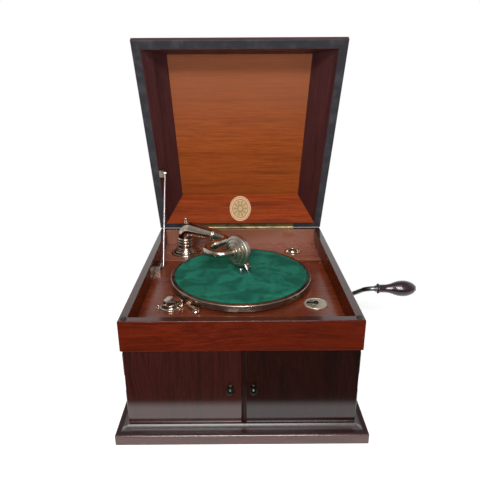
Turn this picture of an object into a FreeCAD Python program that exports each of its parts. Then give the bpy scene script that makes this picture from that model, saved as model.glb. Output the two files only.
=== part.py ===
import FreeCAD, Part
import math
import os

# Tabletop gramophone in millimetres and degrees. +Z is up, the front faces -Y, and the
# origin is the middle of the base on the surface that it stands on. The lid stands open.

# Casing
cabinet_width = 420.0
cabinet_depth = 498.0
base_thick = 20.0
base_edge_round = 2.5
moulding_height = 8.0
moulding_lip = 2.0
cove_sink = 2.0
plinth_reach = 23.0
body_height = 155.0
body_inset = 3.0
panel_thick = 12.0
rim_height = 59.0
rim_edge_round = 1.5
deck_drop = 38.5
deck_thick = 9.0
rear_deck_depth = 120.0
deck_fit = 0.2
batten_width = 10.0
batten_height = 9.0
deck_screw_radius = 3.0
deck_screw_rise = 1.2
deck_screw_inset = 6.0
buffer_radius = 5.0
buffer_inset = 8.0

# Lid
lid_gap = 3.0
lid_overhang = 2.0
lid_lip = 12.0
lid_rim_width = 18.0
lid_depth = 69.0
lid_inner_inset = 58.0
lid_outer_inset = 40.0
lid_panel_thick = 9.0
lid_edge_round = 2.0
lid_open = 65.0
hinge_length = 280.0
hinge_knuckles = 14
hinge_barrel = 3.0
hinge_set_in = 3.0
hinge_pin = 1.2
hinge_leaf_thick = 1.2
hinge_leaf_width = 7.5
badge_width = 56.0
badge_height = 70.0
badge_thick = 0.8

# Lid stay: x is measured in from the rim's inner face, the pivot from the hinge along the lid
stay_side_gap = 14.5
stay_pivot_run = 175.8
stay_pivot_rise = 3.5
stay_foot_run = 176.0
stay_foot_rise = 4.0
stay_radius = 2.0
stay_foot_radius = 3.0
stay_eye_radius = 5.0
stay_eye_thick = 4.0
stay_pin = 2.0
stay_bracket_length = 20.0
stay_bracket_height = 8.0
stay_head_rise = 1.5
stay_catch_front = 26.0
stay_catch_back = 10.0
stay_catch_height = 14.0
stay_stop_height = 6.0
stay_stop_room = 1.5

# Doors
door_thick = 16.0
door_gap = 0.5
door_seat = 2.6
door_edge_round = 1.2
door_bead_width = 7.0
door_bead_rise = 2.5
knob_inset = 20.6
knob_height = 77.0
knob_radius = 7.0
knob_length = 15.0
knob_neck = 3.2
knob_crown = 4.0
door_hinge_height = 44.0
door_hinge_inset = 16.0
door_hinge_barrel = 2.5
door_hinge_pin = 1.0
door_leaf_width = 10.0
door_leaf_thick = 1.1

# Turntable
platter_y = -4.0
platter_radius = 152.4
platter_skirt = 14.0
platter_wall = 2.5
platter_hub = 14.0
platter_lift = 4.0
mat_thick = 2.0
mat_inset = 9.0
spindle_radius = 3.6
spindle_rise = 10.0
spindle_room = 4.0

# Tone arm, in plan from its pivot to the soundbox
arm_side_gap = 20.0
arm_rear_gap = 24.5
arm_height = 66.0
arm_heading = -38.5
arm_reach = 143.0
arm_elbow_radius = 25.0
arm_wall = 1.2
arm_root_radius = 17.5
arm_ring_run = 95.0
arm_ring_width = 8.0
arm_ring_rise = 2.0
arm_mid_radius = 12.8
arm_tip_radius = 8.5
arm_bend_radius = 14.0
arm_turn = -95.0
arm_leg = 50.0
crook_leg = 8.0
crook_radius = 32.3
crook_turn = 178.0
joint_flange_rise = 3.0
joint_flange_thick = 3.0
joint_spigot = 8.0
stud_run = 4.0
stud_radius = 2.5
stud_ball = 4.0
stud_collar = 19.5
stud_height = 23.0
arm_base_radius = 37.5
arm_base_height = 12.0
arm_post_radius = 22.0
post_round = 2.5
arm_tail_radius = 18.0
arm_collar_wall = 4.0
bead_radius = 2.2
bead_low_share = 0.4
bead_high_share = 0.65

# Soundbox
box_radius = 34.0
box_hub_radius = 10.5
box_hub_length = 2.0
box_cone_depth = 11.0
box_steps = 3
box_step_rise = 1.0
box_shoulder = 2.5
box_rim_depth = 8.0
box_ring_depth = 3.0
box_bore_radius = 26.5
diaphragm_radius = 28.5
diaphragm_thick = 0.5
needle_tilt = 38.0
needle_gap = 0.3
needle_radius = 0.7
needle_socket_radius = 3.2
needle_socket_length = 12.0
needle_screw_radius = 3.5
needle_screw_length = 6.0
needle_screw_pin = 1.2
needle_screw_inset = 4.0
needle_set_back = 2.0
needle_depth = 3.0
needle_point = 4.0
needle_bar_width = 3.0
needle_bar_thick = 2.0
needle_cheek = 4.0

# Needle cups, speed dial and brake on the deck
cup_side_gap = 41.0
cup_rear_gap = 42.0
cup_radius = 22.0
cup_depth = 12.0
cup_wall = 1.0
cup_lip = 1.6
cup_lip_width = 3.0
cup_hollow_round = 6.0
bowl_gap = 7.1
bowl_bearing = 221.0
bowl_plate_radius = 22.0
bowl_lug_run = 25.0
bowl_lug_radius = 4.0
bowl_lug_spread = 17.0
bowl_plate_thick = 1.5
bowl_radius = 16.0
bowl_wall = 1.5
bowl_rise = 9.0
bowl_lid_swing = 35.0
bowl_lid_rise = 5.0
bowl_pivot_run = 21.6
bowl_pivot_angle = 13.4
bowl_pivot_radius = 3.2
bowl_arm_width = 5.0
bowl_arm_thick = 1.2
bowl_finial = 2.0
dial_gap = 9.4
dial_bearing = -37.3
dial_radius = 23.0
dial_thick = 2.5
dial_sink = 0.8
dial_rim = 3.0
pointer_length = 19.0
pointer_width = 4.0
pointer_thick = 1.6
pointer_hub = 5.0
pointer_stem = 2.5
brake_angle = 238.0
brake_pivot_gap = 12.0
brake_pad_angle = 231.0
brake_pad_size = 7.0
brake_gap = 0.4
brake_thick = 3.0
brake_lift = 3.0
brake_plate_radius = 7.0
brake_pin = 2.5
brake_head_rise = 2.0
brake_tail = 8.5
brake_tab = 5.0

# Winding crank
crank_y = 60.0
crank_z = 134.5
crank_rod_radius = 5.2
crank_start_gap = 47.5
crank_slant = 15.0
crank_throw_y = -89.0
crank_throw_z = 60.0
crank_bend = 20.0
grip_gap = 22.5
grip_length = 80.0
grip_radius = 17.0
grip_neck = 8.6
grip_flare = 11.0
grip_flare_length = 4.0
grip_neck_start = 8.0
grip_neck_end = 14.0
grip_back_curve = 40.0
grip_back_turn = 32.0
grip_nose = 7.2
escutcheon_radius = 15.0
escutcheon_thick = 3.0
escutcheon_rise = 1.5
bush_wall = 2.8
shaft_reach = 3.0
crank_cup_length = 16.0
crank_cup_wall = 1.5
grip_collar_length = 4.0
grip_collar_rise = 1.5
grip_nut_rise = 1.5

# Horn
throat_radius = 26.0
throat_bend = 45.0
throat_drop = 71.0
horn_wall = 5.0
horn_rear_size = 58.0
horn_front_gap = 4.0
horn_motor_gap = 8.0
horn_first_run = 105.0
horn_first_right = -20.0
horn_second_run = 215.0
horn_second_right = 120.0

# Spring motor under the motor board
plate_thick = 4.0
motor_depth = 82.0
pillar_radius = 4.0
pillar_left_run = 31.0
pillar_left_set = 4.0
pillar_right_run = 22.0
pillar_right_set = 1.0
pillar_rear_run = 6.0
pillar_rear_set = 52.0
base_margin = 10.0
base_edge_run = 12.0
base_slope = 30.0
plate_left_margin = 20.0
plate_right_margin = 10.0
plate_front_margin = 26.0
plate_rear_margin = 52.0
winding_lug_gap = 4.0
train_lift = 12.0
barrel_x = 40.0
barrel_radius = 44.0
barrel_height = 28.0
barrel_wall = 2.0
barrel_drop = 5.0
arbor_radius = 6.0
spring_gap = 1.5
spring_core = 8.0
main_module = 2.0
main_teeth = 46
main_pinion_teeth = 12
train_module = 1.5
train_teeth = 50
train_pinion_teeth = 12
gear_thick = 6.0
pinion_extra = 3.0
middle_radius = 3.0
bevel_module = 2.0
bevel_teeth = 28
bevel_pinion_teeth = 14
bevel_face = 9.0
bevel_play = 0.15
winding_radius = 5.0
bevel_back = 5.0
pinion_back = 4.0
worm_wheel_teeth = 30
worm_radius = 5.5
worm_gap = 0.35
governor_drop = 26.0
governor_disc = 18.0
governor_run = 52.0
governor_far_lug = 26.0
governor_near_lug = 6.0
governor_shaft = 2.5
governor_collar = 8.0
governor_collar_length = 4.0
governor_collar_gap = 14.0
governor_disc_thick = 3.0
worm_turns = 5
worm_depth = 2.0
weight_count = 3
weight_radius = 5.0
leaf_width = 5.0
leaf_thick = 0.8
leaf_radius = 6.0
lug_half = 6.0
lug_thick = 4.0
winding_lug_half = 9.0
winding_lug_thick = 6.0
regulator_pivot_x = 95.0
regulator_pivot_y = -70.0
regulator_thick = 3.0
regulator_width = 8.0
regulator_gap = 2.3
regulator_drop = 20.0
regulator_boss_wall = 2.0
regulator_pad = 5.0
regulator_pad_set = 6.0
cam_radius = 10.0
cam_gap = 2.0

# Fits
running_fit = 0.05
seat_fit = 0.1
clearance = 0.3

# Straight-flanked teeth: heights in modules, widths as shares of the pitch
tooth_head = 0.9
tooth_foot = 1.2
tooth_tip_share = 0.22
tooth_root_share = 0.62

# Levels and widths that follow
body_width = cabinet_width - 2 * body_inset
body_depth = cabinet_depth - 2 * body_inset
base_width = body_width + 2 * plinth_reach
base_depth = body_depth + 2 * plinth_reach
rim_thick = body_inset + panel_thick
inner_width = cabinet_width - 2 * rim_thick
inner_depth = cabinet_depth - 2 * rim_thick
body_floor = base_thick + moulding_height
rim_floor = body_floor + body_height
rim_top = rim_floor + rim_height
deck_top = rim_top - deck_drop
deck_under = deck_top - deck_thick
deck_seam_y = inner_depth / 2 - rear_deck_depth
arm_pivot_x = arm_side_gap + arm_base_radius - inner_width / 2
arm_pivot_y = inner_depth / 2 - arm_rear_gap - arm_base_radius
cup_x = inner_width / 2 - cup_side_gap - cup_radius
cup_y = inner_depth / 2 - cup_rear_gap - cup_radius
bowl_run = platter_radius + bowl_gap + bowl_plate_radius
bowl_x = bowl_run * math.cos(math.radians(bowl_bearing))
bowl_y = platter_y + bowl_run * math.sin(math.radians(bowl_bearing))
dial_run = platter_radius + dial_gap + dial_radius
dial_x = dial_run * math.cos(math.radians(dial_bearing))
dial_y = platter_y + dial_run * math.sin(math.radians(dial_bearing))
lid_floor = rim_top + lid_gap
hinge_y = cabinet_depth / 2 - hinge_set_in
hinge_z = rim_top + lid_gap / 2
door_back = -body_depth / 2 + door_thick
platter_floor = deck_top + platter_lift
platter_top = platter_floor + platter_skirt
mat_top = platter_top + mat_thick
arm_level = deck_top + arm_height
plate_top = deck_under
plate_under = plate_top - plate_thick
motor_floor = deck_under - motor_depth


def vec(x, y, z=0.0):
    return FreeCAD.Vector(x, y, z)


def level(angle):
    """Unit vector in plan at an angle from +X."""
    return vec(math.cos(math.radians(angle)), math.sin(math.radians(angle)))


up = vec(0, 0, 1)
origin = vec(0, 0, 0)


def write(node, *solids):
    """Write one node, of one solid or of several like ones."""
    shape = solids[0] if len(solids) == 1 else Part.makeCompound(list(solids))
    shape.exportStep("parts/" + node + ".step")
    good = all(s.isValid() and s.Volume > 0 for s in shape.Solids)
    print(node, len(shape.Solids), round(shape.Volume), "" if good else "NOT VALID")


def slab(x, y, z):
    """Block between the low and high value along each axis."""
    return Part.makeBox(x[1] - x[0], y[1] - y[0], z[1] - z[0], vec(x[0], y[0], z[0]))


def rod(start, end, radius):
    axis = end.sub(start)
    return Part.makeCylinder(radius, axis.Length, start, axis)


def outline(points):
    """Closed wire in the XZ plane; a point is a pair, or two pairs for an arc through the first."""
    edges = []
    here = points[0]
    for point in points[1:] + points[:1]:
        if isinstance(point[0], tuple):
            through, end = point
            arc = Part.Arc(vec(here[0], 0, here[1]), vec(through[0], 0, through[1]), vec(end[0], 0, end[1]))
            edges.append(arc.toShape())
            here = end
        elif math.dist(here, point) > 1e-6:
            edges.append(Part.LineSegment(vec(here[0], 0, here[1]), vec(point[0], 0, point[1])).toShape())
            here = point
    return Part.Wire(edges)


def corner(centre, radius, start, end):
    """Arc of a rounded corner, as outline takes it, between two angles about its centre."""
    def at(angle):
        turn = math.radians(angle)
        return (centre[0] + radius * math.cos(turn), centre[1] + radius * math.sin(turn))
    return (at((start + end) / 2), at(end))


def turned(points, at=origin, axis=up):
    """Lathe form: points are (radius, height along the axis)."""
    solid = Part.Face(outline(points)).revolve(origin, up, 360)
    solid.Placement = FreeCAD.Placement(at, FreeCAD.Rotation(up, axis))
    return solid


def prism(corners, low, high):
    """Upright prism on a plan of (x, y) corners."""
    points = [vec(x, y, low) for x, y in corners]
    return Part.Face(Part.makePolygon(points + points[:1])).extrude(vec(0, 0, high - low))


def eased(solid, radius, keep=lambda edge: True):
    """Round the edges of a solid that a test keeps."""
    return solid.makeFillet(radius, [edge for edge in solid.Edges if keep(edge)])


def bored(solid, centre, radius, low, high):
    """Solid with an upright hole."""
    hole = rod(vec(centre.x, centre.y, low - 1), vec(centre.x, centre.y, high + 1), radius)
    return solid.cut(hole)


def swept(edges, radius):
    """Round bar along tangent edges."""
    first = edges[0]
    start = first.valueAt(first.FirstParameter)
    circle = Part.makeCircle(radius, start, first.tangentAt(first.FirstParameter))
    return Part.Wire(edges).makePipeShell([Part.Wire(circle)], True, False)


def trail(at, heading, steps):
    """Level path of runs (length,) and bends (radius, turn to the left): its edges, end and heading."""
    edges = []
    for step in steps:
        if len(step) == 1:
            end = at + level(heading) * step[0]
            edges.append(Part.LineSegment(at, end).toShape())
        else:
            radius, turn = step
            inward = heading + math.copysign(90, turn)
            centre = at + level(inward) * radius
            middle = centre - level(inward + turn / 2) * radius
            end = centre - level(inward + turn) * radius
            edges.append(Part.Arc(at, middle, end).toShape())
            heading += turn
        at = end
    return edges, at, heading


def bent_path(points, radius):
    """Edges through points, with tangent arcs of one radius at the inner points."""
    edges = []
    here = points[0]
    for before, point, after in zip(points, points[1:], points[2:]):
        back = (before - point).normalize()
        on = (after - point).normalize()
        half = back.getAngle(on) / 2
        run = radius / math.tan(half)
        start = point + back * run
        end = point + on * run
        middle = (back + on).normalize()
        through = point + middle * (radius / math.sin(half) - radius)
        edges.append(Part.LineSegment(here, start).toShape())
        edges.append(Part.Arc(start, through, end).toShape())
        here = end
    edges.append(Part.LineSegment(here, points[-1]).toShape())
    return edges


def mitred(width, depth, profile):
    """Four mitred lengths of a profile round a rectangle, front first and then leftward turns.

    The profile's points are (distance in from the outer edge, height).
    """
    spots = [point for entry in profile for point in (entry if isinstance(entry[0], tuple) else (entry,))]
    reach = max(spot[0] for spot in spots)
    low = min(spot[1] for spot in spots)
    high = max(spot[1] for spot in spots)
    sides = []
    for quarter in range(4):
        length, across = (width, depth) if quarter % 2 == 0 else (depth, width)
        section = Part.Face(outline(profile))
        section.rotate(origin, up, 90)
        section.translate(vec(length / 2, -across / 2))
        bar = section.extrude(vec(-length, 0, 0))
        x, y = length / 2, -across / 2
        plan = [(-x, y), (x, y), (x - reach, y + reach), (-x + reach, y + reach)]
        side = bar.common(prism(plan, low - 1, high + 1))
        side.rotate(origin, up, 90 * quarter)
        sides.append(side.Solids[0])
    return sides


def open_lid(shape):
    """Turn a shape about the lid's hinge from the closed place to the open one."""
    shape.rotate(vec(0, hinge_y, hinge_z), vec(-1, 0, 0), lid_open)
    return shape


def gear(teeth, module, phase, centre, low, thick):
    """Spur wheel with one tooth centred at the phase angle."""
    pitch = module * teeth / 2
    step = 360 / teeth
    foot = pitch - tooth_foot * module
    head = pitch + tooth_head * module
    corners = []
    for tooth in range(teeth):
        middle = phase + tooth * step
        for share, radius in ((-tooth_root_share, foot), (-tooth_tip_share, head),
                              (tooth_tip_share, head), (tooth_root_share, foot)):
            spot = centre + level(middle + share * step / 2) * radius
            corners.append((spot.x, spot.y))
    return prism(corners, low, low + thick)


def bevel_gear(teeth, mate, module, phase, hub, bore, back):
    """Bevel wheel about +Z with its pitch apex at the origin, one tooth centred at the phase angle."""
    cone = math.atan2(teeth, mate)
    reach = module * math.hypot(teeth, mate) / 2
    inner = reach - bevel_face

    def spot(distance, rise, width):
        """Corner of a tooth at a distance from the apex; rise and width shrink towards it."""
        share = distance / reach
        radius = distance * math.sin(cone) + rise * share * math.cos(cone)
        height = distance * math.cos(cone) - rise * share * math.sin(cone)
        return vec(radius, width * share, height)

    pitch = math.pi * module
    root = -tooth_foot * module
    floor = root + tooth_foot * module / 4
    tip = tooth_head * module - bevel_play
    root_half = pitch * tooth_root_share / 2 - bevel_play
    tip_half = pitch * tooth_tip_share / 2 - bevel_play
    outer_root = spot(reach, floor, 0)
    inner_root = spot(inner, floor, 0)
    blank = turned([
        (bore, inner_root.z), (inner_root.x, inner_root.z), (outer_root.x, outer_root.z),
        (hub, back), (bore, back),
    ])
    ends = []
    for distance in (inner, reach):
        corners = [
            spot(distance, root, -root_half), spot(distance, tip, -tip_half),
            spot(distance, tip, tip_half), spot(distance, root, root_half),
        ]
        ends.append(Part.makePolygon(corners + corners[:1]))
    tooth = Part.makeLoft(ends, True, True)
    all_teeth = []
    for index in range(teeth):
        copy = tooth.copy()
        copy.rotate(origin, up, phase + index * 360 / teeth)
        all_teeth.append(copy)
    return blank.multiFuse(all_teeth).removeSplitter().Solids[0]


def dome(radius, low, rise):
    """Points of a domed top for turned: from the rim at its low level to the axis."""
    curve = (radius * radius + rise * rise) / (2 * rise)
    half = math.asin(radius / curve) / 2
    through = (curve * math.sin(half), low + rise - curve * (1 - math.cos(half)))
    return [(radius, low), (through, (0, low + rise))]


def ogee(start, end):
    """Two arcs for turned, from a start along the axis to an end along the axis."""
    across = end[0] - start[0]
    along = end[1] - start[1]
    radius = (across ** 2 + along ** 2) / (4 * across)
    half = math.asin(along / (2 * radius)) / 2
    out = radius * (1 - math.cos(half))
    run = radius * math.sin(half)
    middle = ((start[0] + end[0]) / 2, (start[1] + end[1]) / 2)
    return [((start[0] + out, start[1] + run), middle), ((end[0] - out, end[1] - run), end)]


def hinge_channel():
    """Room for the lid hinge's knuckles in the rear edges of the rim and of the closed lid."""
    end = vec(hinge_length / 2 + clearance, hinge_y, hinge_z)
    return rod(vec(-end.x, hinge_y, hinge_z), end, hinge_barrel + clearance)


def casing():
    base = slab((-base_width / 2, base_width / 2), (-base_depth / 2, base_depth / 2), (0, base_thick))
    write("base_board", eased(base, base_edge_round, lambda edge: edge.CenterOfMass.z > base_thick / 4))

    lip = base_thick + moulding_lip
    cove_start = (2 * base_edge_round, lip)
    cove_end = (plinth_reach - 1, body_floor - 1)
    chord = (cove_end[0] - cove_start[0], cove_end[1] - cove_start[1])
    sink = cove_sink / math.hypot(*chord)
    cove_middle = (
        (cove_start[0] + cove_end[0]) / 2 + chord[1] * sink,
        (cove_start[1] + cove_end[1]) / 2 - chord[0] * sink,
    )
    moulding = [
        (base_edge_round, base_thick), (base_edge_round, lip), cove_start, (cove_middle, cove_end),
        (plinth_reach - 1, body_floor), (plinth_reach + door_thick, body_floor),
        (plinth_reach + door_thick, base_thick),
    ]
    write("plinth_mouldings", *mitred(base_width, base_depth, moulding))

    outer = body_width / 2
    inner = inner_width / 2
    side_y = (door_back + door_seat, body_depth / 2)
    right = slab((inner, outer), side_y, (body_floor, rim_floor))
    left = slab((-outer, -inner), side_y, (body_floor, rim_floor))
    shaft_hole = rod(vec(inner - 1, crank_y, crank_z), vec(outer + 1, crank_y, crank_z),
                     winding_radius + bush_wall + seat_fit)
    write("side_panels", left, right.cut(shaft_hole))
    back_y = (body_depth / 2 - panel_thick, body_depth / 2)
    write("back_panel", slab((-inner, inner), back_y, (body_floor, rim_floor)))

    soft = rim_edge_round
    rail = [
        (0, rim_floor + soft), (0, rim_top - soft),
        corner((soft, rim_top - soft), soft, 180, 90), (rim_thick - soft / 2, rim_top),
        corner((rim_thick - soft / 2, rim_top - soft / 2), soft / 2, 90, 0),
        (rim_thick, rim_floor), (soft, rim_floor), corner((soft, rim_floor + soft), soft, 270, 180),
    ]
    write("rim_rails", *[side.cut(hinge_channel()) for side in mitred(cabinet_width, cabinet_depth, rail)])

    battens = []
    batten_z = (deck_under - batten_height, deck_under)
    for side in (-1, 1):
        x = sorted((side * inner, side * (inner - batten_width)))
        battens.append(slab(x, (-inner_depth / 2, inner_depth / 2), batten_z))
        y = sorted((side * inner_depth / 2, side * (inner_depth / 2 - batten_width)))
        battens.append(slab((batten_width - inner, inner - batten_width), y, batten_z))
    write("deck_battens", *battens)

    buffers = []
    inset = buffer_inset + rim_edge_round
    for side in (-1, 1):
        spot = vec(side * (cabinet_width / 2 - inset), -cabinet_depth / 2 + inset, rim_top)
        height = lid_gap - clearance
        buffers.append(turned([(0, 0), (buffer_radius, 0)] + dome(buffer_radius, height - 1, 1), spot))
    write("lid_buffers", *buffers)


def screw_spots():
    """Places of the screws that hold the two deck boards to the battens."""
    x = inner_width / 2 - deck_screw_inset
    front = -inner_depth / 2 + deck_screw_inset
    rear = inner_depth / 2 - deck_screw_inset
    seam_front = deck_seam_y - 3 * deck_screw_inset
    seam_rear = deck_seam_y + 3 * deck_screw_inset
    return [vec(side * x, y) for y in (front, seam_front, seam_rear, rear) for side in (-1, 1)]


def deck():
    x = inner_width / 2 - deck_fit
    y = inner_depth / 2 - deck_fit
    z = (deck_under, deck_top)
    rear = slab((-x, x), (deck_seam_y + deck_fit / 2, y), z)
    front = slab((-x, x), (-y, deck_seam_y - deck_fit / 2), z)
    screws = []
    for spot in screw_spots():
        hole = deck_screw_radius / 2
        rear = bored(rear, spot, hole + seat_fit, *z)
        front = bored(front, spot, hole + seat_fit, *z)
        low = deck_top - deck_thick + seat_fit
        head = turned([(0, low - deck_top), (hole, low - deck_top), (hole, 0), (deck_screw_radius, 0)]
                      + dome(deck_screw_radius, deck_screw_rise / 3, deck_screw_rise * 2 / 3),
                      vec(spot.x, spot.y, deck_top))
        slot = slab((spot.x - deck_screw_radius, spot.x + deck_screw_radius), (spot.y - 0.3, spot.y + 0.3),
                    (deck_top + deck_screw_rise / 2, deck_top + deck_screw_rise + 1))
        screws.append(head.cut(slot))
    write("deck_screws", *screws)

    rear = bored(rear, vec(arm_pivot_x, arm_pivot_y), arm_tail_radius + arm_collar_wall + seat_fit, *z)
    rear = bored(rear, vec(cup_x, cup_y), cup_radius - cup_lip_width + seat_fit, *z)
    write("rear_deck", rear)
    front = bored(front, vec(0, platter_y), spindle_radius + spindle_room, *z)
    front = bored(front, vec(bowl_x, bowl_y), bowl_radius + seat_fit, *z)
    front = bored(front, vec(dial_x, dial_y), pointer_stem + running_fit, *z)
    front = bored(front, brake_pivot(), brake_pin + seat_fit, *z)
    socket = rod(vec(regulator_pivot_x, regulator_pivot_y, deck_under - 1),
                 vec(regulator_pivot_x, regulator_pivot_y, deck_under + deck_thick / 2),
                 middle_radius + running_fit)
    write("motor_board", front.cut(socket))


def leaf_with_knuckles(low, high, plate_y, own, length, count, barrel, pin, axis):
    """Hinge leaf along X at the height low to high, with every other knuckle on its axis (y, z)."""
    leaf = slab((-length / 2, length / 2), plate_y, (low, high))
    pitch = length / count
    for index in range(own, count, 2):
        start = -length / 2 + index * pitch + clearance / 2
        end = start + pitch - clearance
        tab = slab((start, end), (plate_y[1], axis[0]), (low, high))
        knuckle = rod(vec(start, *axis), vec(end, *axis), barrel)
        leaf = leaf.fuse(tab.fuse(knuckle))
    bore = rod(vec(-length, *axis), vec(length, *axis), pin + running_fit)
    return leaf.cut(bore).removeSplitter()


def lid():
    low = lid_floor
    high = lid_floor + lid_depth
    soft = lid_edge_round
    wall = [
        (soft, low), (lid_rim_width, low), (lid_inner_inset, high), (lid_outer_inset, high),
        (0, low + lid_lip), (0, low + soft), corner((soft, low + soft), soft, 180, 270),
    ]
    lid_width = cabinet_width + 2 * lid_overhang
    walls = [side.cut(hinge_channel()) for side in mitred(lid_width, cabinet_depth, wall)]
    x = lid_width / 2 - lid_outer_inset
    y = cabinet_depth / 2 - lid_outer_inset
    top = eased(slab((-x, x), (-y, y), (high, high + lid_panel_thick)), lid_edge_round,
                lambda edge: edge.CenterOfMass.z > high + lid_panel_thick / 4)

    slope = math.degrees(math.atan2(lid_inner_inset - lid_rim_width, lid_depth))
    badge = Part.Face(Part.Wire(Part.Ellipse(origin, badge_height / 2, badge_width / 2).toShape()))
    badge = badge.extrude(vec(0, 0, badge_thick))
    badge.rotate(origin, up, 90)
    badge.rotate(origin, vec(1, 0, 0), 90 + slope)
    badge.translate(vec(0, cabinet_depth / 2 - (lid_rim_width + lid_inner_inset) / 2, (low + high) / 2))

    axis = (hinge_y, hinge_z)
    leaf_end = hinge_y - hinge_barrel - clearance
    leaf_y = (leaf_end - hinge_leaf_width, leaf_end)
    fixed = leaf_with_knuckles(rim_top, rim_top + hinge_leaf_thick, leaf_y, 0,
                               hinge_length, hinge_knuckles, hinge_barrel, hinge_pin, axis)
    moving = leaf_with_knuckles(low - hinge_leaf_thick, low, leaf_y, 1,
                                hinge_length, hinge_knuckles, hinge_barrel, hinge_pin, axis)
    stay(walls[3])
    write("lid_walls", *[open_lid(side) for side in walls])
    write("lid_panel", open_lid(top))
    write("lid_badge", open_lid(badge))
    write("lid_hinge_fixed_leaf", fixed)
    write("lid_hinge_moving_leaf", open_lid(moving))


def stay_points():
    """Pivot of the stay on the closed lid, its place on the open lid, and the foot, all at the stay's x."""
    x = -inner_width / 2 + stay_side_gap
    closed = vec(x, hinge_y - stay_pivot_run, lid_floor + stay_pivot_rise)
    turn = math.radians(lid_open)
    y, z = closed.y - hinge_y, closed.z - hinge_z
    pivot = vec(x, hinge_y + y * math.cos(turn) + z * math.sin(turn),
                hinge_z - y * math.sin(turn) + z * math.cos(turn))
    foot = vec(x, hinge_y - stay_foot_run, deck_top + stay_foot_rise)
    return closed, pivot, foot


def stay(left_wall):
    """Rod that props the lid, its bracket on the lid's left wall and its catch on the rim."""
    closed, pivot, foot = stay_points()
    half = stay_eye_thick / 2
    near = closed.x - half - clearance
    block = slab((-cabinet_width / 2, near),
                 (closed.y - stay_bracket_length / 2, closed.y + stay_bracket_length / 2),
                 (lid_floor, lid_floor + stay_bracket_height)).cut(left_wall)
    block = max(block.Solids, key=lambda solid: solid.CenterOfMass.x)
    pin = rod(vec(near, closed.y, closed.z), vec(closed.x + half + clearance, closed.y, closed.z), stay_pin)
    head = rod(vec(closed.x + half + clearance, closed.y, closed.z),
               vec(closed.x + half + clearance + stay_head_rise, closed.y, closed.z), stay_pin + stay_head_rise)
    write("stay_bracket", open_lid(block.fuse([pin, head]).removeSplitter()))

    eye = rod(pivot - vec(half, 0, 0), pivot + vec(half, 0, 0), stay_eye_radius)
    length = (foot - pivot).Length
    neck = length - math.sqrt(stay_foot_radius ** 2 - stay_radius ** 2)
    bar = turned([
        (0, stay_pin + 1), (stay_radius, stay_pin + 1), (stay_radius, neck),
        ((stay_foot_radius, length), (0, length + stay_foot_radius)),
    ], pivot, foot - pivot)
    bore = rod(pivot - vec(2 * half, 0, 0), pivot + vec(2 * half, 0, 0), stay_pin + running_fit)
    write("stay_rod", bar.fuse(eye).cut(bore))

    wall = -inner_width / 2
    plate = slab((wall, foot.x - stay_foot_radius - clearance),
                 (foot.y - stay_catch_front, foot.y + stay_catch_back), (deck_top, deck_top + stay_catch_height))
    post = slab((wall, foot.x + stay_foot_radius),
                (foot.y + stay_foot_radius + stay_stop_room, foot.y + stay_catch_back),
                (deck_top, deck_top + stay_stop_height))
    write("stay_catch", plate.fuse(post).removeSplitter())


def door_hinge(low, moving):
    """Leaf of a right-hand door's hinge from a height up: the door's own, or the one on the side panel."""
    axis = vec(body_width / 2 + clearance + door_hinge_barrel, door_back + door_seat / 2)
    third = door_hinge_height / 3
    if moving:
        y = (door_back, door_back + door_leaf_thick)
        spans = [(low + third, low + 2 * third)]
    else:
        y = (door_back + door_seat - door_leaf_thick, door_back + door_seat)
        spans = [(low, low + third), (low + 2 * third, low + 3 * third)]
    leaf = slab((body_width / 2 - door_leaf_width, body_width / 2), y, (low, low + door_hinge_height))
    for start, end in spans:
        start, end = start + clearance / 2, end - clearance / 2
        tab = slab((body_width / 2, axis.x), y, (start, end))
        leaf = leaf.fuse(tab.fuse(rod(axis + vec(0, 0, start), axis + vec(0, 0, end), door_hinge_barrel)))
    bore = rod(axis + vec(0, 0, low - 1), axis + vec(0, 0, low + door_hinge_height + 1),
               door_hinge_pin + running_fit)
    pin = rod(axis + vec(0, 0, low), axis + vec(0, 0, low + door_hinge_height), door_hinge_pin)
    return leaf.cut(bore).removeSplitter(), pin


def doors():
    z = (body_floor + door_gap, rim_floor - door_gap)
    y = (-body_depth / 2, door_back)
    inner = door_gap / 2
    panel = eased(slab((inner, body_width / 2), y, z), door_edge_round)
    soft = door_bead_rise * 0.8
    section = [
        (inner, 0), (inner, soft / 4), corner((inner + soft, door_bead_rise - soft), soft, 180, 90),
        corner((inner + door_bead_width - soft, door_bead_rise - soft), soft, 90, 0),
        (inner + door_bead_width, 0),
    ]
    bead = Part.Face(outline(section)).extrude(vec(0, z[1] - z[0] - 2 * door_edge_round, 0))
    bead.rotate(origin, vec(1, 0, 0), 90)
    bead.translate(vec(door_edge_round, y[0], z[0] + door_edge_round))
    spot = vec(knob_inset, y[0], body_floor + knob_height)
    widest = knob_length - knob_crown
    knob = turned([
        (0, 0), (knob_radius - 1, 0), (knob_radius - 1, 1.2), (knob_neck, 2.4), (knob_neck, widest - 3.5),
        (knob_radius, widest - 1)] + dome(knob_radius, widest, knob_crown), spot, vec(0, -1, 0))
    lows = (z[0] + door_hinge_inset, z[1] - door_hinge_inset - door_hinge_height)
    mirror = (origin, vec(1, 0, 0))
    write("right_door", panel.fuse(bead).removeSplitter())
    write("left_door", panel.mirror(*mirror))
    write("right_door_knob", knob)
    write("left_door_knob", knob.mirror(*mirror))
    right_moving = [door_hinge(low, True)[0] for low in lows]
    right_fixed = [door_hinge(low, False)[0] for low in lows]
    pins = [door_hinge(low, True)[1] for low in lows]
    write("right_door_hinges", *right_moving)
    write("left_door_hinges", *[leaf.mirror(*mirror) for leaf in right_moving])
    write("door_hinge_jambs", *right_fixed, *[leaf.mirror(*mirror) for leaf in right_fixed])
    lid_pin = rod(vec(-hinge_length / 2, hinge_y, hinge_z), vec(hinge_length / 2, hinge_y, hinge_z), hinge_pin)
    write("hinge_pins", lid_pin, *pins, *[pin.mirror(*mirror) for pin in pins])


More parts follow.
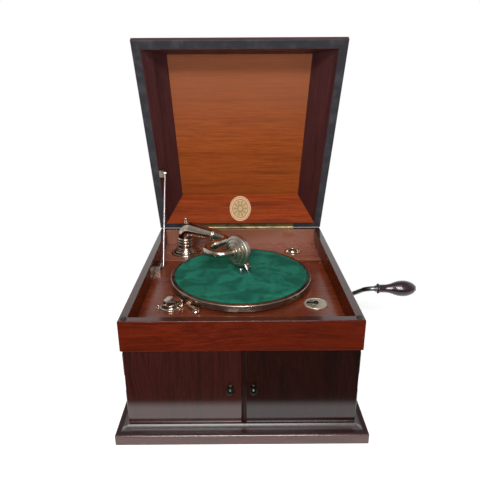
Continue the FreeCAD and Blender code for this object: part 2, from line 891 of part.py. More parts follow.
def turntable():
    centre = vec(0, platter_y)
    skirt = platter_radius - platter_wall
    bore = spindle_radius + running_fit
    under = platter_top - platter_wall
    foot = platter_floor + platter_wall / 2
    platter = turned([
        (bore, platter_floor), (platter_hub, platter_floor), (platter_hub, under), (skirt, under),
        (skirt, foot), corner((skirt + platter_wall / 2, foot), platter_wall / 2, 180, 360),
        (platter_radius, platter_top - platter_wall),
        corner((platter_radius - platter_wall, platter_top - platter_wall), platter_wall, 0, 90),
        (bore, platter_top),
    ], centre)
    write("turntable", platter)
    mat_radius = platter_radius - mat_inset
    edge = mat_thick / 2
    mat = turned([
        (bore + clearance, platter_top), (mat_radius, platter_top), (mat_radius, mat_top - edge),
        corner((mat_radius - edge, mat_top - edge), edge, 0, 90), (bore + clearance, mat_top),
    ], centre)
    write("felt_mat", mat)


def brake_pivot():
    radius = platter_radius + brake_pivot_gap
    return vec(0, platter_y) + level(brake_angle) * radius


def brake():
    """Brake shoe that swings against the turntable's skirt."""
    pivot = brake_pivot()
    head_radius = brake_pin + brake_head_rise
    plate = turned([
        (0, 0), (brake_plate_radius, 0), (brake_plate_radius, 1),
        (brake_plate_radius - 1, brake_lift - clearance),
        (brake_pin, brake_lift - clearance), (brake_pin, brake_lift + brake_thick + clearance),
        (head_radius, brake_lift + brake_thick + clearance),
    ] + dome(head_radius, brake_lift + brake_thick + brake_head_rise / 2, brake_head_rise / 2),
        pivot + vec(0, 0, deck_top))
    stem = rod(pivot + vec(0, 0, deck_under), pivot + vec(0, 0, deck_top), brake_pin)
    write("brake_plate", plate.fuse(stem).removeSplitter())

    low = deck_top + brake_lift
    out = level(brake_pad_angle)
    pad_centre = vec(0, platter_y) + out * (platter_radius + brake_gap + brake_pad_size)
    along = (pad_centre - pivot).normalize()
    side = vec(-along.y, along.x)
    tail = pivot - along * brake_tail
    half = side * (brake_pad_size / 2)
    corners = [pad_centre + half, pad_centre - half, tail - half, tail + half]
    bar = prism([(spot.x, spot.y) for spot in corners], low, low + brake_thick)
    ends = [rod(spot + vec(0, 0, low), spot + vec(0, 0, low + brake_thick), brake_pad_size / 2)
            for spot in (pad_centre, tail)]
    tab_low = tail + vec(0, 0, low + brake_thick)
    tab = rod(tab_low, tab_low + vec(0, 0, brake_tab), brake_pad_size / 2 - 1)
    bar = bored(bar.fuse(ends + [tab]), pivot, brake_pin + running_fit, low, low + brake_thick)

    pad = slab((0, brake_pad_size * 1.5), (-brake_pad_size, brake_pad_size),
               (low + brake_thick, platter_top - platter_wall))
    pad.rotate(origin, up, brake_pad_angle)
    pad.translate(vec(0, platter_y) + out * (platter_radius - 1))
    drum = rod(vec(0, platter_y, low - 1), vec(0, platter_y, mat_top), platter_radius + brake_gap)
    write("brake_lever", bar.fuse(pad.cut(drum).Solids[0]).removeSplitter())


def needle_cups():
    hole = cup_radius - cup_lip_width
    hollow = hole - cup_wall
    lip = cup_lip / 2
    turn = cup_hollow_round
    centre = (hollow - turn, cup_wall - cup_depth + turn)
    cup = turned([
        (0, -cup_depth), (hollow - turn, -cup_depth), corner(centre, turn + cup_wall, 270, 360), (hole, 0),
        (cup_radius, 0), (cup_radius, lip), corner((cup_radius - lip, lip), lip, 0, 90),
        (hollow + lip, cup_lip), corner((hollow + lip, lip), lip, 90, 180),
        (hollow, centre[1]), corner(centre, turn, 360, 270), (0, cup_wall - cup_depth),
    ], vec(cup_x, cup_y, deck_top))
    write("needle_cup", cup)

    spot = vec(bowl_x, bowl_y, deck_top)
    inner = bowl_radius - bowl_wall
    floor = -deck_thick + 1
    bowl = turned([
        (0, floor - 1), (bowl_radius, floor - 1), (bowl_radius, 0), (bowl_plate_radius, 0),
        ((bowl_plate_radius - 0.5, bowl_plate_thick * 0.8), (bowl_plate_radius - 2, bowl_plate_thick)),
        (bowl_radius + 2 * bowl_wall, bowl_plate_thick),
        ((bowl_radius + 1.5, bowl_plate_thick + 1.2), (bowl_radius + 0.5, bowl_rise * 0.6)),
        (bowl_radius + 0.5, bowl_rise - 1),
        corner((bowl_radius - 0.5, bowl_rise - 1), 1, 0, 180), (inner, floor + 2),
        (inner - 2, floor), (0, floor),
    ], spot)
    pivot = spot + level(bowl_pivot_angle) * bowl_pivot_run
    post = rod(pivot, pivot + vec(0, 0, bowl_rise + bowl_lid_rise), bowl_pivot_radius - 1)
    foot = rod(pivot + vec(0, 0, bowl_plate_thick / 2), pivot + vec(0, 0, bowl_rise), bowl_pivot_radius)
    lugs = []
    for turn in (0, 180):
        spread = prism([(0, -bowl_lug_spread), (bowl_lug_run, -bowl_lug_radius), (bowl_lug_run, bowl_lug_radius),
                        (0, bowl_lug_spread)], 0, bowl_plate_thick)
        tip = rod(vec(bowl_lug_run, 0), vec(bowl_lug_run, 0, bowl_plate_thick), bowl_lug_radius)
        within = rod(vec(0, 0, -1), vec(0, 0, deck_thick), (bowl_radius + bowl_plate_radius) / 2)
        lug = spread.fuse(tip).cut(within)
        lug.rotate(origin, up, bowl_pivot_angle + turn)
        lug.translate(spot)
        lugs.append(lug.Solids[0])
    away = spot - level(bowl_pivot_angle) * bowl_lug_run
    knob = turned([(0, 0), (bowl_pivot_radius - 1, 0), (bowl_pivot_radius - 1, bowl_rise * 0.6)]
                  + dome(bowl_pivot_radius, bowl_rise * 0.6, bowl_pivot_radius * 0.8), away)
    write("needle_bowl", bowl.fuse(lugs + [foot, post, knob]).removeSplitter())

    low = bowl_rise + clearance
    cap_radius = bowl_radius + 0.8
    cap = turned([(0, low), (cap_radius, low)] + dome(cap_radius, low + 1, bowl_lid_rise - 1), spot)
    inside = turned([(0, low - 1), (cap_radius - 1.5, low - 1)]
                    + dome(cap_radius - 1.5, low, bowl_lid_rise - 1.2), spot)
    crown = low + bowl_lid_rise
    finial = turned([(0, crown - 1), (bowl_finial, crown - 1), (bowl_finial, crown)]
                    + dome(bowl_finial, crown + 1, bowl_finial / 2), spot)
    arm = slab((bowl_radius - bowl_wall, bowl_pivot_run), (-bowl_arm_width / 2, bowl_arm_width / 2),
               (low, low + bowl_arm_thick))
    arm = arm.fuse(rod(vec(bowl_pivot_run, 0, low), vec(bowl_pivot_run, 0, low + 2 * bowl_arm_thick),
                       bowl_pivot_radius + 0.5))
    arm.rotate(origin, up, bowl_pivot_angle)
    arm.translate(spot)
    lid_solid = cap.fuse([finial, arm]).cut(inside)
    bore = rod(pivot, pivot + vec(0, 0, 2 * low), bowl_pivot_radius - 1 + running_fit)
    lid_solid = lid_solid.cut(bore).removeSplitter()
    lid_solid.rotate(pivot, up, -bowl_lid_swing)
    write("needle_bowl_lid", max(lid_solid.Solids, key=lambda solid: solid.Volume))


def speed_control():
    spot = vec(dial_x, dial_y, deck_top)
    dial = turned([
        (pointer_stem + 1, 0), (dial_radius, 0),
        ((dial_radius - 0.3, dial_thick * 0.75), (dial_radius - 1.2, dial_thick)),
        (dial_radius - dial_rim + dial_sink, dial_thick), (dial_radius - dial_rim, dial_thick - dial_sink),
        (pointer_stem + 1, dial_thick - dial_sink),
    ], spot)
    write("speed_dial", dial)

    low = dial_thick + clearance
    hub = turned([(0, low), (pointer_hub, low), (pointer_hub, low + pointer_thick)]
                 + dome(pointer_hub - 1, low + pointer_thick + 1, 2), spot)
    hand = prism([(0, -pointer_width / 2), (pointer_length - 3, -pointer_width / 2), (pointer_length, 0),
                  (pointer_length - 3, pointer_width / 2), (0, pointer_width / 2)], low, low + pointer_thick)
    hand.rotate(origin, up, 180)
    hand.translate(spot)
    cam_low = spot - vec(0, 0, deck_thick + regulator_drop + 1)
    cam_high = cam_low + vec(0, 0, regulator_thick + 2)
    stem = rod(cam_low, spot + vec(0, 0, low), pointer_stem)
    cam = rod(cam_low - vec(1, 0, 0), cam_high - vec(1, 0, 0), cam_radius)
    write("speed_pointer", hub.fuse([hand, stem, cam]).removeSplitter())

    pivot = vec(regulator_pivot_x, regulator_pivot_y)
    low = deck_under - regulator_drop
    high = low + regulator_thick
    pad_start = vec(governor_run + regulator_gap, governor_y() - regulator_pad_set,
                    plate_under - governor_drop + governor_disc / 2)
    pad_end = pad_start + vec(regulator_pad, 0, 0)
    toe = vec(pad_end.x + regulator_boss_wall, pad_end.y)
    stem_line = vec(dial_x, dial_y) - pivot
    heel_run = stem_line.Length - cam_radius - cam_gap - regulator_width / 2
    heel = pivot + stem_line.normalize() * heel_run
    boss = rod(pivot + vec(0, 0, low), pivot + vec(0, 0, deck_under - clearance),
               middle_radius + regulator_boss_wall)
    pin = rod(pivot + vec(0, 0, deck_under - 1), pivot + vec(0, 0, deck_under + deck_thick / 2 - clearance),
              middle_radius)
    lever = boss.fuse(pin)
    for end in (toe, heel):
        side = (end - pivot).normalize()
        half = vec(-side.y, side.x) * (regulator_width / 2)
        corners = [pivot + half, pivot - half, end - half, end + half]
        arm = prism([(spot.x, spot.y) for spot in corners], low, high)
        lever = lever.fuse([arm, rod(end + vec(0, 0, low), end + vec(0, 0, high), regulator_width / 2)])
    pad = rod(pad_start, pad_end + vec(regulator_boss_wall, 0, 0), regulator_width / 2)
    write("regulator_lever", lever.fuse(pad).removeSplitter())


def arm_bend_start():
    """Distance from the tone arm's pivot to its side bend, and the bend's tangent length."""
    tangent = arm_bend_radius * math.tan(math.radians(abs(arm_turn) / 2))
    return arm_reach - tangent, tangent


def crook_joint():
    """Where the crook meets the arm, and the heading of the crook's turning axis."""
    start_run, tangent = arm_bend_start()
    pivot = vec(arm_pivot_x, arm_pivot_y, arm_level)
    edges, end, heading = trail(pivot, arm_heading,
                                [(start_run,), (arm_bend_radius, arm_turn), (arm_leg - tangent,)])
    return end, heading


def tone_arm():
    foot = vec(arm_pivot_x, arm_pivot_y)
    collar = arm_tail_radius + arm_collar_wall
    base = turned([
        (arm_tail_radius + seat_fit, deck_under - deck_top), (collar, deck_under - deck_top), (collar, 0),
        (arm_base_radius, 0), ((arm_base_radius - 0.5, 2.4), (arm_base_radius - 3, 3.4)),
        (arm_base_radius - 7, 3.4), (arm_base_radius - 7.5, 5.4),
        ((arm_base_radius - 8.5, 6.8), (arm_base_radius - 10.5, 7)), (arm_post_radius + 6, 7),
        ((arm_post_radius + 4.4, 8), (arm_post_radius + 4, arm_base_height - 1.5)),
        ((arm_post_radius + 3.5, arm_base_height - 0.4), (arm_post_radius + 2.5, arm_base_height)),
        (arm_tail_radius + seat_fit, arm_base_height),
    ], foot + vec(0, 0, deck_top))
    write("tonearm_base", base)

    start = arm_base_height + clearance
    top = arm_height - arm_elbow_radius
    bore = arm_root_radius - arm_wall
    bead = bead_radius
    low_bead = start + (top - start) * bead_low_share
    high_bead = start + (top - start) * bead_high_share
    shank = arm_post_radius - 3

    def bead_arc(height):
        return [(shank, height - bead), ((shank + bead, height), (shank, height + bead))]

    post = turned([
        (bore, deck_under - deck_top), (arm_tail_radius, deck_under - deck_top), (arm_tail_radius, start),
        (arm_post_radius, start), ((arm_post_radius - 0.6, start + 1.8), (shank, start + 2.6))]
        + bead_arc(low_bead) + bead_arc(high_bead) + [
        corner((shank - post_round, top - post_round), post_round, 0, 90), (bore, top),
    ], foot + vec(0, 0, deck_top))
    write("tonearm_post", post)

    ahead = level(arm_heading)
    rise = vec(arm_pivot_x, arm_pivot_y, arm_level - arm_elbow_radius)
    centre = rise + ahead * arm_elbow_radius
    diagonal = (up - ahead).normalize()
    elbow_end = centre + up * arm_elbow_radius
    elbow = Part.Arc(rise, centre + diagonal * arm_elbow_radius, elbow_end).toShape()
    axis_start = vec(arm_pivot_x, arm_pivot_y, arm_level)
    bend_run, tangent = arm_bend_start()

    def along(run):
        return axis_start + ahead * run

    def cone(start_run, end_run, start_radius, end_radius):
        return Part.makeCone(start_radius, end_radius, end_run - start_run, along(start_run), ahead)

    def body(inset):
        """The arm's outer form, or its bore with an inset."""
        tip = arm_tip_radius - inset
        ring_end = arm_ring_run + arm_ring_width
        bend, end, heading = trail(axis_start + ahead * bend_run, arm_heading,
                                   [(arm_bend_radius, arm_turn), (arm_leg - tangent,)])
        parts = [
            swept([elbow], arm_root_radius - inset),
            cone(arm_elbow_radius, arm_ring_run, arm_root_radius - inset, arm_mid_radius - inset),
            rod(along(arm_ring_run), along(ring_end), arm_mid_radius - inset),
            cone(ring_end, bend_run, arm_mid_radius - inset, tip),
            swept(bend, tip),
        ]
        return parts, end, heading

    outer, joint, heading = body(0)
    inner, joint, heading = body(arm_wall)
    ring_middle = arm_ring_run + arm_ring_width / 2
    ring = turned([
        (arm_mid_radius - 1, -arm_ring_width / 2), (arm_mid_radius + 1, -arm_ring_width / 2),
        ((arm_mid_radius + arm_ring_rise, -arm_ring_width / 4), (arm_mid_radius + 1, 0)),
        ((arm_mid_radius + arm_ring_rise, arm_ring_width / 4), (arm_mid_radius + 1, arm_ring_width / 2)),
        (arm_mid_radius - 1, arm_ring_width / 2),
    ], axis_start + ahead * ring_middle, ahead)
    onward = level(heading)
    flange = rod(joint - onward * joint_flange_thick, joint, arm_tip_radius + joint_flange_rise)
    neck = stud_height - math.sqrt(stud_ball ** 2 - stud_radius ** 2)
    stud = turned([
        (0, 0), (stud_ball, 0), (stud_ball, stud_collar), (stud_radius, stud_collar), (stud_radius, neck),
        ((stud_ball, stud_height), (0, stud_height + stud_ball)),
    ], axis_start + ahead * stud_run)
    tube = outer[0].fuse(outer[1:] + [ring, flange, stud])
    write("tonearm_tube", tube.cut(inner[0].fuse(inner[1:])).removeSplitter())
    crook(joint, heading)


def crook(joint, heading):
    onward = level(heading)
    start = joint + onward * clearance
    flange = rod(start, start + onward * joint_flange_thick, arm_tip_radius + joint_flange_rise - 0.5)
    spigot_radius = arm_tip_radius - arm_wall - running_fit
    spigot = rod(start - onward * joint_spigot, start + onward * joint_flange_thick, spigot_radius)
    path, end, final = trail(start, heading, [(crook_leg,), (crook_radius, crook_turn)])
    bore = swept(path, spigot_radius - arm_wall)
    lead = rod(start - onward * (joint_spigot + 1), start + onward, spigot_radius - arm_wall)
    write("crook", swept(path, arm_tip_radius).fuse([flange, spigot]).cut(bore.fuse(lead)).removeSplitter())
    soundbox(end, final)


def soundbox_face():
    """Distance from the crook's end to the face where the soundbox's ring is screwed on."""
    return box_hub_length + box_cone_depth + box_rim_depth


def soundbox(hub, heading):
    """Soundbox on the crook's end: built along +Z with +X ahead and +Y down, then set in place."""
    facing = level(heading)
    ahead = level(heading - 90)
    place = FreeCAD.Placement(hub, FreeCAD.Rotation(ahead, up * -1, facing, "ZXY"))

    def placed(solid):
        solid.Placement = place.multiply(solid.Placement)
        return solid

    bore = arm_tip_radius - arm_wall
    face = soundbox_face()
    seat = face - diaphragm_thick - seat_fit
    rim = box_radius - box_shoulder
    land = (rim - box_hub_radius) / box_steps
    drop = box_cone_depth / box_steps
    rings = []
    for step in range(1, box_steps + 1):
        radius = box_hub_radius + step * land
        depth = box_hub_length + step * drop
        rings += [(radius, depth - box_step_rise), (radius, depth)]
    shoulder = box_hub_length + box_cone_depth
    back = turned([(bore, 0), (box_hub_radius, 0), (box_hub_radius, box_hub_length)] + rings + [
        corner((rim, shoulder + box_shoulder), box_shoulder, 270, 360), (box_radius, face),
        (diaphragm_radius + seat_fit, face), (diaphragm_radius + seat_fit, seat),
        (box_bore_radius, seat), (box_bore_radius, seat - 2), (bore, box_hub_length + box_shoulder),
    ])
    write("soundbox_back", placed(back))
    sheet = turned([
        (0, seat), (diaphragm_radius, seat), (diaphragm_radius, seat + diaphragm_thick),
        (0, seat + diaphragm_thick),
    ])
    write("diaphragm", placed(sheet))
    front = face + box_ring_depth
    ring = turned([
        (box_bore_radius, face), (box_radius, face), (box_radius, front - 1.5),
        ((box_radius - 0.5, front - 0.4), (box_radius - 1.8, front)), (box_bore_radius + 1.5, front),
        (box_bore_radius, front - 1.5),
    ])
    write("soundbox_ring", placed(ring))

    down = level(90 - needle_tilt)
    across = vec(-down.y, down.x)
    middle = vec(0, 0, face - needle_set_back)
    socket_start = box_radius + clearance
    socket_end = socket_start + needle_socket_length
    socket = rod(middle + down * socket_start, middle + down * socket_end, needle_socket_radius)
    reach = (arm_level - mat_top - needle_gap) / math.cos(math.radians(needle_tilt))
    over = front + 1

    def bar(start, end, half_width, low, high):
        spots = [down * start + across * half_width, down * end + across * half_width,
                 down * end - across * half_width, down * start - across * half_width]
        return prism([(spot.x, spot.y) for spot in spots], low, high)

    half_bar = needle_bar_width / 2
    cheek_end = socket_start + needle_cheek
    cheek = bar(socket_start, cheek_end, needle_socket_radius, face - needle_set_back, over + needle_bar_thick)
    lever = bar(-needle_bar_thick, cheek_end, half_bar, over, over + needle_bar_thick)
    tip_boss = rod(vec(0, 0, seat + diaphragm_thick + seat_fit), vec(0, 0, over + 1), half_bar)
    shank_start = middle + down * (socket_start + needle_depth)
    needle_hole = rod(shank_start, middle + down * reach, needle_radius + running_fit)
    screw_at = middle + down * (socket_end - needle_screw_inset)
    screw_hole = rod(screw_at, screw_at + up * needle_socket_radius * 2, needle_screw_pin + running_fit)
    needle_bar = socket.fuse([cheek, lever, tip_boss]).cut(needle_hole.fuse(screw_hole))
    write("needle_bar", placed(needle_bar.removeSplitter()))

    point_start = middle + down * (reach - needle_point)
    shank = rod(shank_start, point_start, needle_radius)
    point = Part.makeCone(needle_radius, needle_radius / 7, needle_point, point_start, down)
    write("needle", placed(shank.fuse(point).removeSplitter()))
    screw = turned([
        (0, needle_radius + seat_fit), (needle_screw_pin, needle_radius + seat_fit),
        (needle_screw_pin, needle_socket_radius + 2),
        (needle_screw_radius, needle_socket_radius + 2),
        (needle_screw_radius, needle_socket_radius + 1 + needle_screw_length),
        (needle_screw_radius - 1, needle_socket_radius + 2 + needle_screw_length),
        (0, needle_socket_radius + 2 + needle_screw_length),
    ], screw_at)
    write("needle_screw", placed(screw))


def crank():
    """Winding handle, its grip and the escutcheon that its shaft passes through."""
    outer = body_width / 2
    wall = vec(outer, crank_y, crank_z)
    bush = winding_radius + running_fit
    plate = turned([
        (bush, -panel_thick), (winding_radius + bush_wall, -panel_thick), (winding_radius + bush_wall, 0),
        (escutcheon_radius, 0), ((escutcheon_radius - 0.6, escutcheon_thick * 0.7),
                                 (escutcheon_radius - 2.5, escutcheon_thick)),
        (winding_radius + bush_wall, escutcheon_thick + escutcheon_rise),
        (bush, escutcheon_thick + escutcheon_rise),
    ], wall, vec(1, 0, 0))
    write("crank_escutcheon", plate)

    shaft_end = wall + vec(escutcheon_thick + shaft_reach, 0, 0)
    knee = wall + vec(crank_start_gap, 0, 0)
    hand = knee + vec(crank_slant, crank_throw_y, crank_throw_z)
    grip_start = hand + vec(grip_gap, 0, 0)
    grip_end = grip_start + vec(grip_length, 0, 0)
    path = bent_path([shaft_end, knee, hand, grip_end], crank_bend)
    collar = rod(grip_start - vec(grip_collar_length + clearance, 0, 0), grip_start - vec(clearance, 0, 0),
                 crank_rod_radius + grip_collar_rise)
    nut_radius = crank_rod_radius + grip_nut_rise
    nut = turned([(0, 0), (nut_radius, 0)] + dome(nut_radius, 1, grip_nut_rise),
                 grip_end + vec(clearance, 0, 0), vec(1, 0, 0))
    tip = rod(grip_end - vec(1, 0, 0), grip_end + vec(clearance + 0.5, 0, 0), crank_rod_radius)
    cup = rod(shaft_end, shaft_end + vec(crank_cup_length, 0, 0), winding_radius + crank_cup_wall)
    write("crank_rod", swept(path, crank_rod_radius).fuse([collar, nut, tip, cup]).removeSplitter())

    bore = crank_rod_radius + running_fit
    turn = math.radians(grip_back_turn)
    widest = grip_length - grip_nose - (grip_back_curve - grip_nose) * math.sin(turn)
    back_centre = (grip_radius - grip_back_curve, widest)
    nose_reach = grip_back_curve - grip_nose
    nose_centre = (back_centre[0] + nose_reach * math.cos(turn), widest + nose_reach * math.sin(turn))
    flare = grip_flare_length / 2
    grip = turned([
        (bore, 0), (grip_flare - flare, 0), corner((grip_flare - flare, flare), flare, 270, 450),
        (grip_neck, grip_neck_start), (grip_neck, grip_neck_end)]
        + ogee((grip_neck, grip_neck_end), (grip_radius, widest)) + [
        corner(back_centre, grip_back_curve, 0, grip_back_turn),
        corner(nose_centre, grip_nose, grip_back_turn, 90),
        (bore, grip_length),
    ], grip_start, vec(1, 0, 0))
    write("crank_grip", grip)
    return shaft_end


def horn():
    """Throat under the tone arm and the flared wooden horn that leads to the doors."""
    top = vec(arm_pivot_x, arm_pivot_y, deck_under)
    knee = top - up * throat_drop
    centre = knee - vec(0, throat_bend, 0)
    end = centre - up * throat_bend
    diagonal = vec(0, 1, -1).normalize()
    past = end - vec(0, horn_wall, 0)
    edges = [
        Part.LineSegment(top, knee).toShape(),
        Part.Arc(knee, centre + diagonal * throat_bend, end).toShape(),
        Part.LineSegment(end, past).toShape(),
    ]
    half = horn_rear_size / 2
    flange = slab((end.x - half, end.x + half), (past.y, end.y), (end.z - half, end.z + half))
    bore = swept(edges, throat_radius - horn_wall)
    write("horn_throat", swept(edges, throat_radius).fuse(flange).cut(bore))

    rear = end.y - horn_wall
    front = door_back + horn_front_gap
    side = inner_width / 2 - clearance
    roof = rim_floor - clearance
    motor_room = motor_floor - horn_motor_gap

    def sections(inset):
        """Rectangles from the throat to the mouth: depth, left, right, floor, roof."""
        spans = [
            (rear, end.x - half, end.x + half, end.z - half, end.z + half),
            (rear - horn_first_run, -side, horn_first_right, body_floor, motor_room),
            (rear - horn_second_run, -side, horn_second_right, body_floor, motor_room),
            (front, -side, side, body_floor, roof),
        ]
        wires = []
        for y, left, right, floor, high in spans:
            corners = [vec(left + inset, y, floor + inset), vec(right - inset, y, floor + inset),
                       vec(right - inset, y, high - inset), vec(left + inset, y, high - inset)]
            wires.append(Part.makePolygon(corners + corners[:1]))
        return wires

    shell = Part.makeLoft(sections(0), True, True).cut(Part.makeLoft(sections(horn_wall), True, True))
    write("horn", shell)


def motor_points():
    """Plan places of the spindle, the spring barrel and the intermediate arbor that meshes with both."""
    spindle = vec(0, platter_y)
    barrel = vec(barrel_x, crank_y)
    to_spindle = train_module * (train_teeth + train_pinion_teeth) / 2
    to_barrel = main_module * (main_teeth + main_pinion_teeth) / 2
    apart = (barrel - spindle).Length
    along = (to_spindle ** 2 - to_barrel ** 2 + apart ** 2) / (2 * apart)
    aside = math.sqrt(to_spindle ** 2 - along ** 2)
    line = (barrel - spindle).normalize()
    middle = spindle + line * along + vec(-line.y, line.x) * aside
    return spindle, barrel, middle


def governor_y():
    wheel = train_module * (worm_wheel_teeth / 2 + tooth_head)
    return platter_y - wheel - worm_radius - worm_gap


def bearing(start, end):
    """Heading in degrees from one plan point to another."""
    return math.degrees(math.atan2(end.y - start.y, end.x - start.x))


def motor(shaft_end):
    spindle, barrel, middle = motor_points()
    governor_z = plate_under - governor_drop
    axle_y = governor_y()
    base_top = motor_floor + plate_thick

    pillars = [
        vec(middle.x - pillar_left_run, platter_y + pillar_left_set),
        vec(barrel.x + pillar_right_run, platter_y - pillar_right_set),
        vec(middle.x - pillar_rear_run, middle.y + pillar_rear_set),
    ]
    edge = barrel.x + base_edge_run
    left, right, rear = pillars
    plan = [
        (left.x - base_margin, left.y - base_margin), (right.x + base_margin, right.y - base_margin),
        (right.x + base_margin, right.y + base_margin), (edge, right.y + base_slope),
        (edge, barrel.y + base_margin), (rear.x + base_margin, rear.y + base_margin),
        (rear.x - base_margin, rear.y + base_margin), (left.x - base_margin, left.y + base_slope),
    ]
    base = prism(plan, motor_floor, base_top)
    for centre, radius in ((spindle, spindle_radius), (barrel, arbor_radius), (middle, middle_radius)):
        base = bored(base, centre, radius + running_fit, motor_floor, base_top)
    posts = [rod(spot + vec(0, 0, motor_floor), spot + vec(0, 0, plate_under), pillar_radius) for spot in pillars]
    write("motor_base_plate", base.fuse(posts).removeSplitter())

    lug_x = barrel.x + barrel_radius + main_module * 2 + winding_lug_gap
    plate = slab((left.x - plate_left_margin, lug_x + plate_right_margin),
                 (axle_y - plate_front_margin, barrel.y + plate_rear_margin), (plate_under, plate_top))
    for centre, radius in ((spindle, spindle_radius), (barrel, arbor_radius), (middle, middle_radius)):
        plate = bored(plate, centre, radius + running_fit, plate_under, plate_top)
    lugs = []
    for x in (-(governor_run + governor_near_lug), governor_run + governor_far_lug):
        lug = slab((x - lug_thick / 2, x + lug_thick / 2), (axle_y - lug_half, axle_y + lug_half),
                   (governor_z - lug_half, plate_under))
        axle = rod(vec(x - lug_thick, axle_y, governor_z), vec(x + lug_thick, axle_y, governor_z),
                   governor_shaft + running_fit)
        lugs.append(lug.cut(axle))
    lug = slab((lug_x, lug_x + winding_lug_thick), (crank_y - winding_lug_half, crank_y + winding_lug_half),
               (crank_z - winding_lug_half, plate_under))
    shaft = rod(vec(lug_x - 1, crank_y, crank_z), vec(lug_x + winding_lug_thick + 1, crank_y, crank_z),
                winding_radius + running_fit)
    lugs.append(lug.cut(shaft))
    write("motor_top_plate", plate.fuse(lugs).removeSplitter())

    barrel_top = plate_under - barrel_drop
    barrel_low = barrel_top - barrel_height
    inside = barrel_radius - barrel_wall
    bore = arbor_radius + running_fit
    drum = turned([
        (bore, 0), (barrel_radius, 0), (barrel_radius, barrel_height), (bore, barrel_height),
        (bore, barrel_height - barrel_wall), (inside, barrel_height - barrel_wall), (inside, barrel_wall),
        (bore, barrel_wall),
    ], barrel + vec(0, 0, barrel_low))
    mesh = bearing(barrel, middle)
    wheel = gear(main_teeth, main_module, mesh, barrel, barrel_low, gear_thick)
    wheel = bored(wheel, barrel, barrel_radius - 1, barrel_low, barrel_top)
    write("spring_barrel", drum.fuse(wheel).removeSplitter())
    coil_low = barrel_low + barrel_wall + spring_gap / 2
    coil_high = barrel_top - barrel_wall - spring_gap / 2
    coil = turned([
        (arbor_radius + spring_core, coil_low), (inside - clearance, coil_low), (inside - clearance, coil_high),
        (arbor_radius + spring_core, coil_high),
    ], barrel)
    write("mainspring", coil)

    apex = vec(barrel.x, barrel.y, crank_z)
    back = bevel_module * bevel_pinion_teeth / 2 + bevel_back
    bevel = bevel_gear(bevel_teeth, bevel_pinion_teeth, bevel_module, 0, bevel_module * bevel_teeth / 2 - 4,
                       arbor_radius - 1, back)
    bevel.translate(apex)
    arbor = rod(barrel + vec(0, 0, motor_floor), barrel + vec(0, 0, plate_top), arbor_radius)
    write("barrel_arbor", arbor.fuse(bevel).removeSplitter())

    half_tooth = 180 / bevel_pinion_teeth
    back = bevel_module * bevel_teeth / 2 + pinion_back
    pinion = bevel_gear(bevel_pinion_teeth, bevel_teeth, bevel_module, half_tooth,
                        bevel_module * bevel_pinion_teeth / 2 - 3, winding_radius - 1, back)
    pinion.rotate(origin, vec(0, 1, 0), 90)
    pinion.translate(apex)
    inner_end = apex + vec(bevel_module * bevel_teeth / 2 - bevel_face, 0, 0)
    shaft = rod(inner_end, shaft_end, winding_radius)
    write("winding_shaft", shaft.fuse(pinion).removeSplitter())

    pinion_phase = mesh + 180 + 180 / main_pinion_teeth
    low_wheel = base_top + train_lift
    train_mesh = bearing(spindle, middle)
    train_phase = train_mesh + 180 + 180 / train_teeth
    arbor_shaft = rod(middle + vec(0, 0, motor_floor), middle + vec(0, 0, plate_top), middle_radius)
    upper = gear(main_pinion_teeth, main_module, pinion_phase, middle, barrel_low - pinion_extra / 2,
                 gear_thick + pinion_extra)
    lower = gear(train_teeth, train_module, train_phase, middle, low_wheel, gear_thick)
    write("intermediate_gears", arbor_shaft.fuse([upper, lower]).removeSplitter())

    tip = mat_top + spindle_rise
    pin = turned([(0, motor_floor), (spindle_radius, motor_floor)]
                 + dome(spindle_radius, tip - spindle_radius * 0.7, spindle_radius * 0.7), spindle)
    pinion_low = low_wheel - pinion_extra / 2
    spindle_pinion = gear(train_pinion_teeth, train_module, train_mesh, spindle, pinion_low,
                          gear_thick + pinion_extra)
    worm_wheel = gear(worm_wheel_teeth, train_module, 0, spindle, governor_z - gear_thick / 2, gear_thick)
    hub = platter_hub / 2
    rest = rod(spindle + vec(0, 0, platter_floor - 3), spindle + vec(0, 0, platter_floor), hub)
    write("spindle", pin.fuse([spindle_pinion, worm_wheel, rest]).removeSplitter())
    governor(axle_y, governor_z)


def governor(y, z):
    """Governor on its own level shaft: worm, sliding disc and three weights on leaf springs."""
    start = -(governor_run + governor_near_lug + lug_thick / 2)
    end = governor_run + governor_far_lug + lug_thick / 2
    thread = []
    pitch = math.pi * train_module
    root = worm_radius - worm_depth
    for turn in range(worm_turns):
        along = (turn - worm_turns / 2) * pitch
        thread += [(root, along), (worm_radius, along + pitch * 0.3),
                   (worm_radius, along + pitch * 0.6), (root, along + pitch * 0.9)]
    radius = governor_shaft
    shaft = turned([(0, start), (radius, start), (radius, thread[0][1])] + thread
                   + [(radius, thread[-1][1]), (radius, end), (0, end)], vec(0, y, z), vec(1, 0, 0))
    spring_from = worm_radius + governor_collar_gap + governor_collar_length
    disc_back = governor_run - governor_disc_thick
    spring_to = disc_back - governor_collar_length
    collar = rod(vec(spring_from - governor_collar_length, y, z), vec(spring_from, y, z), governor_collar)
    disc = rod(vec(disc_back, y, z), vec(governor_run, y, z), governor_disc)
    boss = rod(vec(spring_to, y, z), vec(disc_back, y, z), governor_collar)
    pieces = [shaft.fuse([collar, disc, boss]).removeSplitter()]
    middle = (spring_from + spring_to) / 2
    leaf_top = leaf_radius + leaf_thick
    for index in range(weight_count):
        strip = slab((spring_from, spring_to), (-leaf_width / 2, leaf_width / 2), (leaf_radius, leaf_top))
        weight = rod(vec(middle, 0, leaf_top), vec(middle, 0, leaf_top + weight_radius), weight_radius)
        for piece in (strip, weight):
            piece.rotate(origin, vec(1, 0, 0), 360 / weight_count * index)
            piece.translate(vec(0, y, z))
            pieces.append(piece)
    write("governor", *pieces)


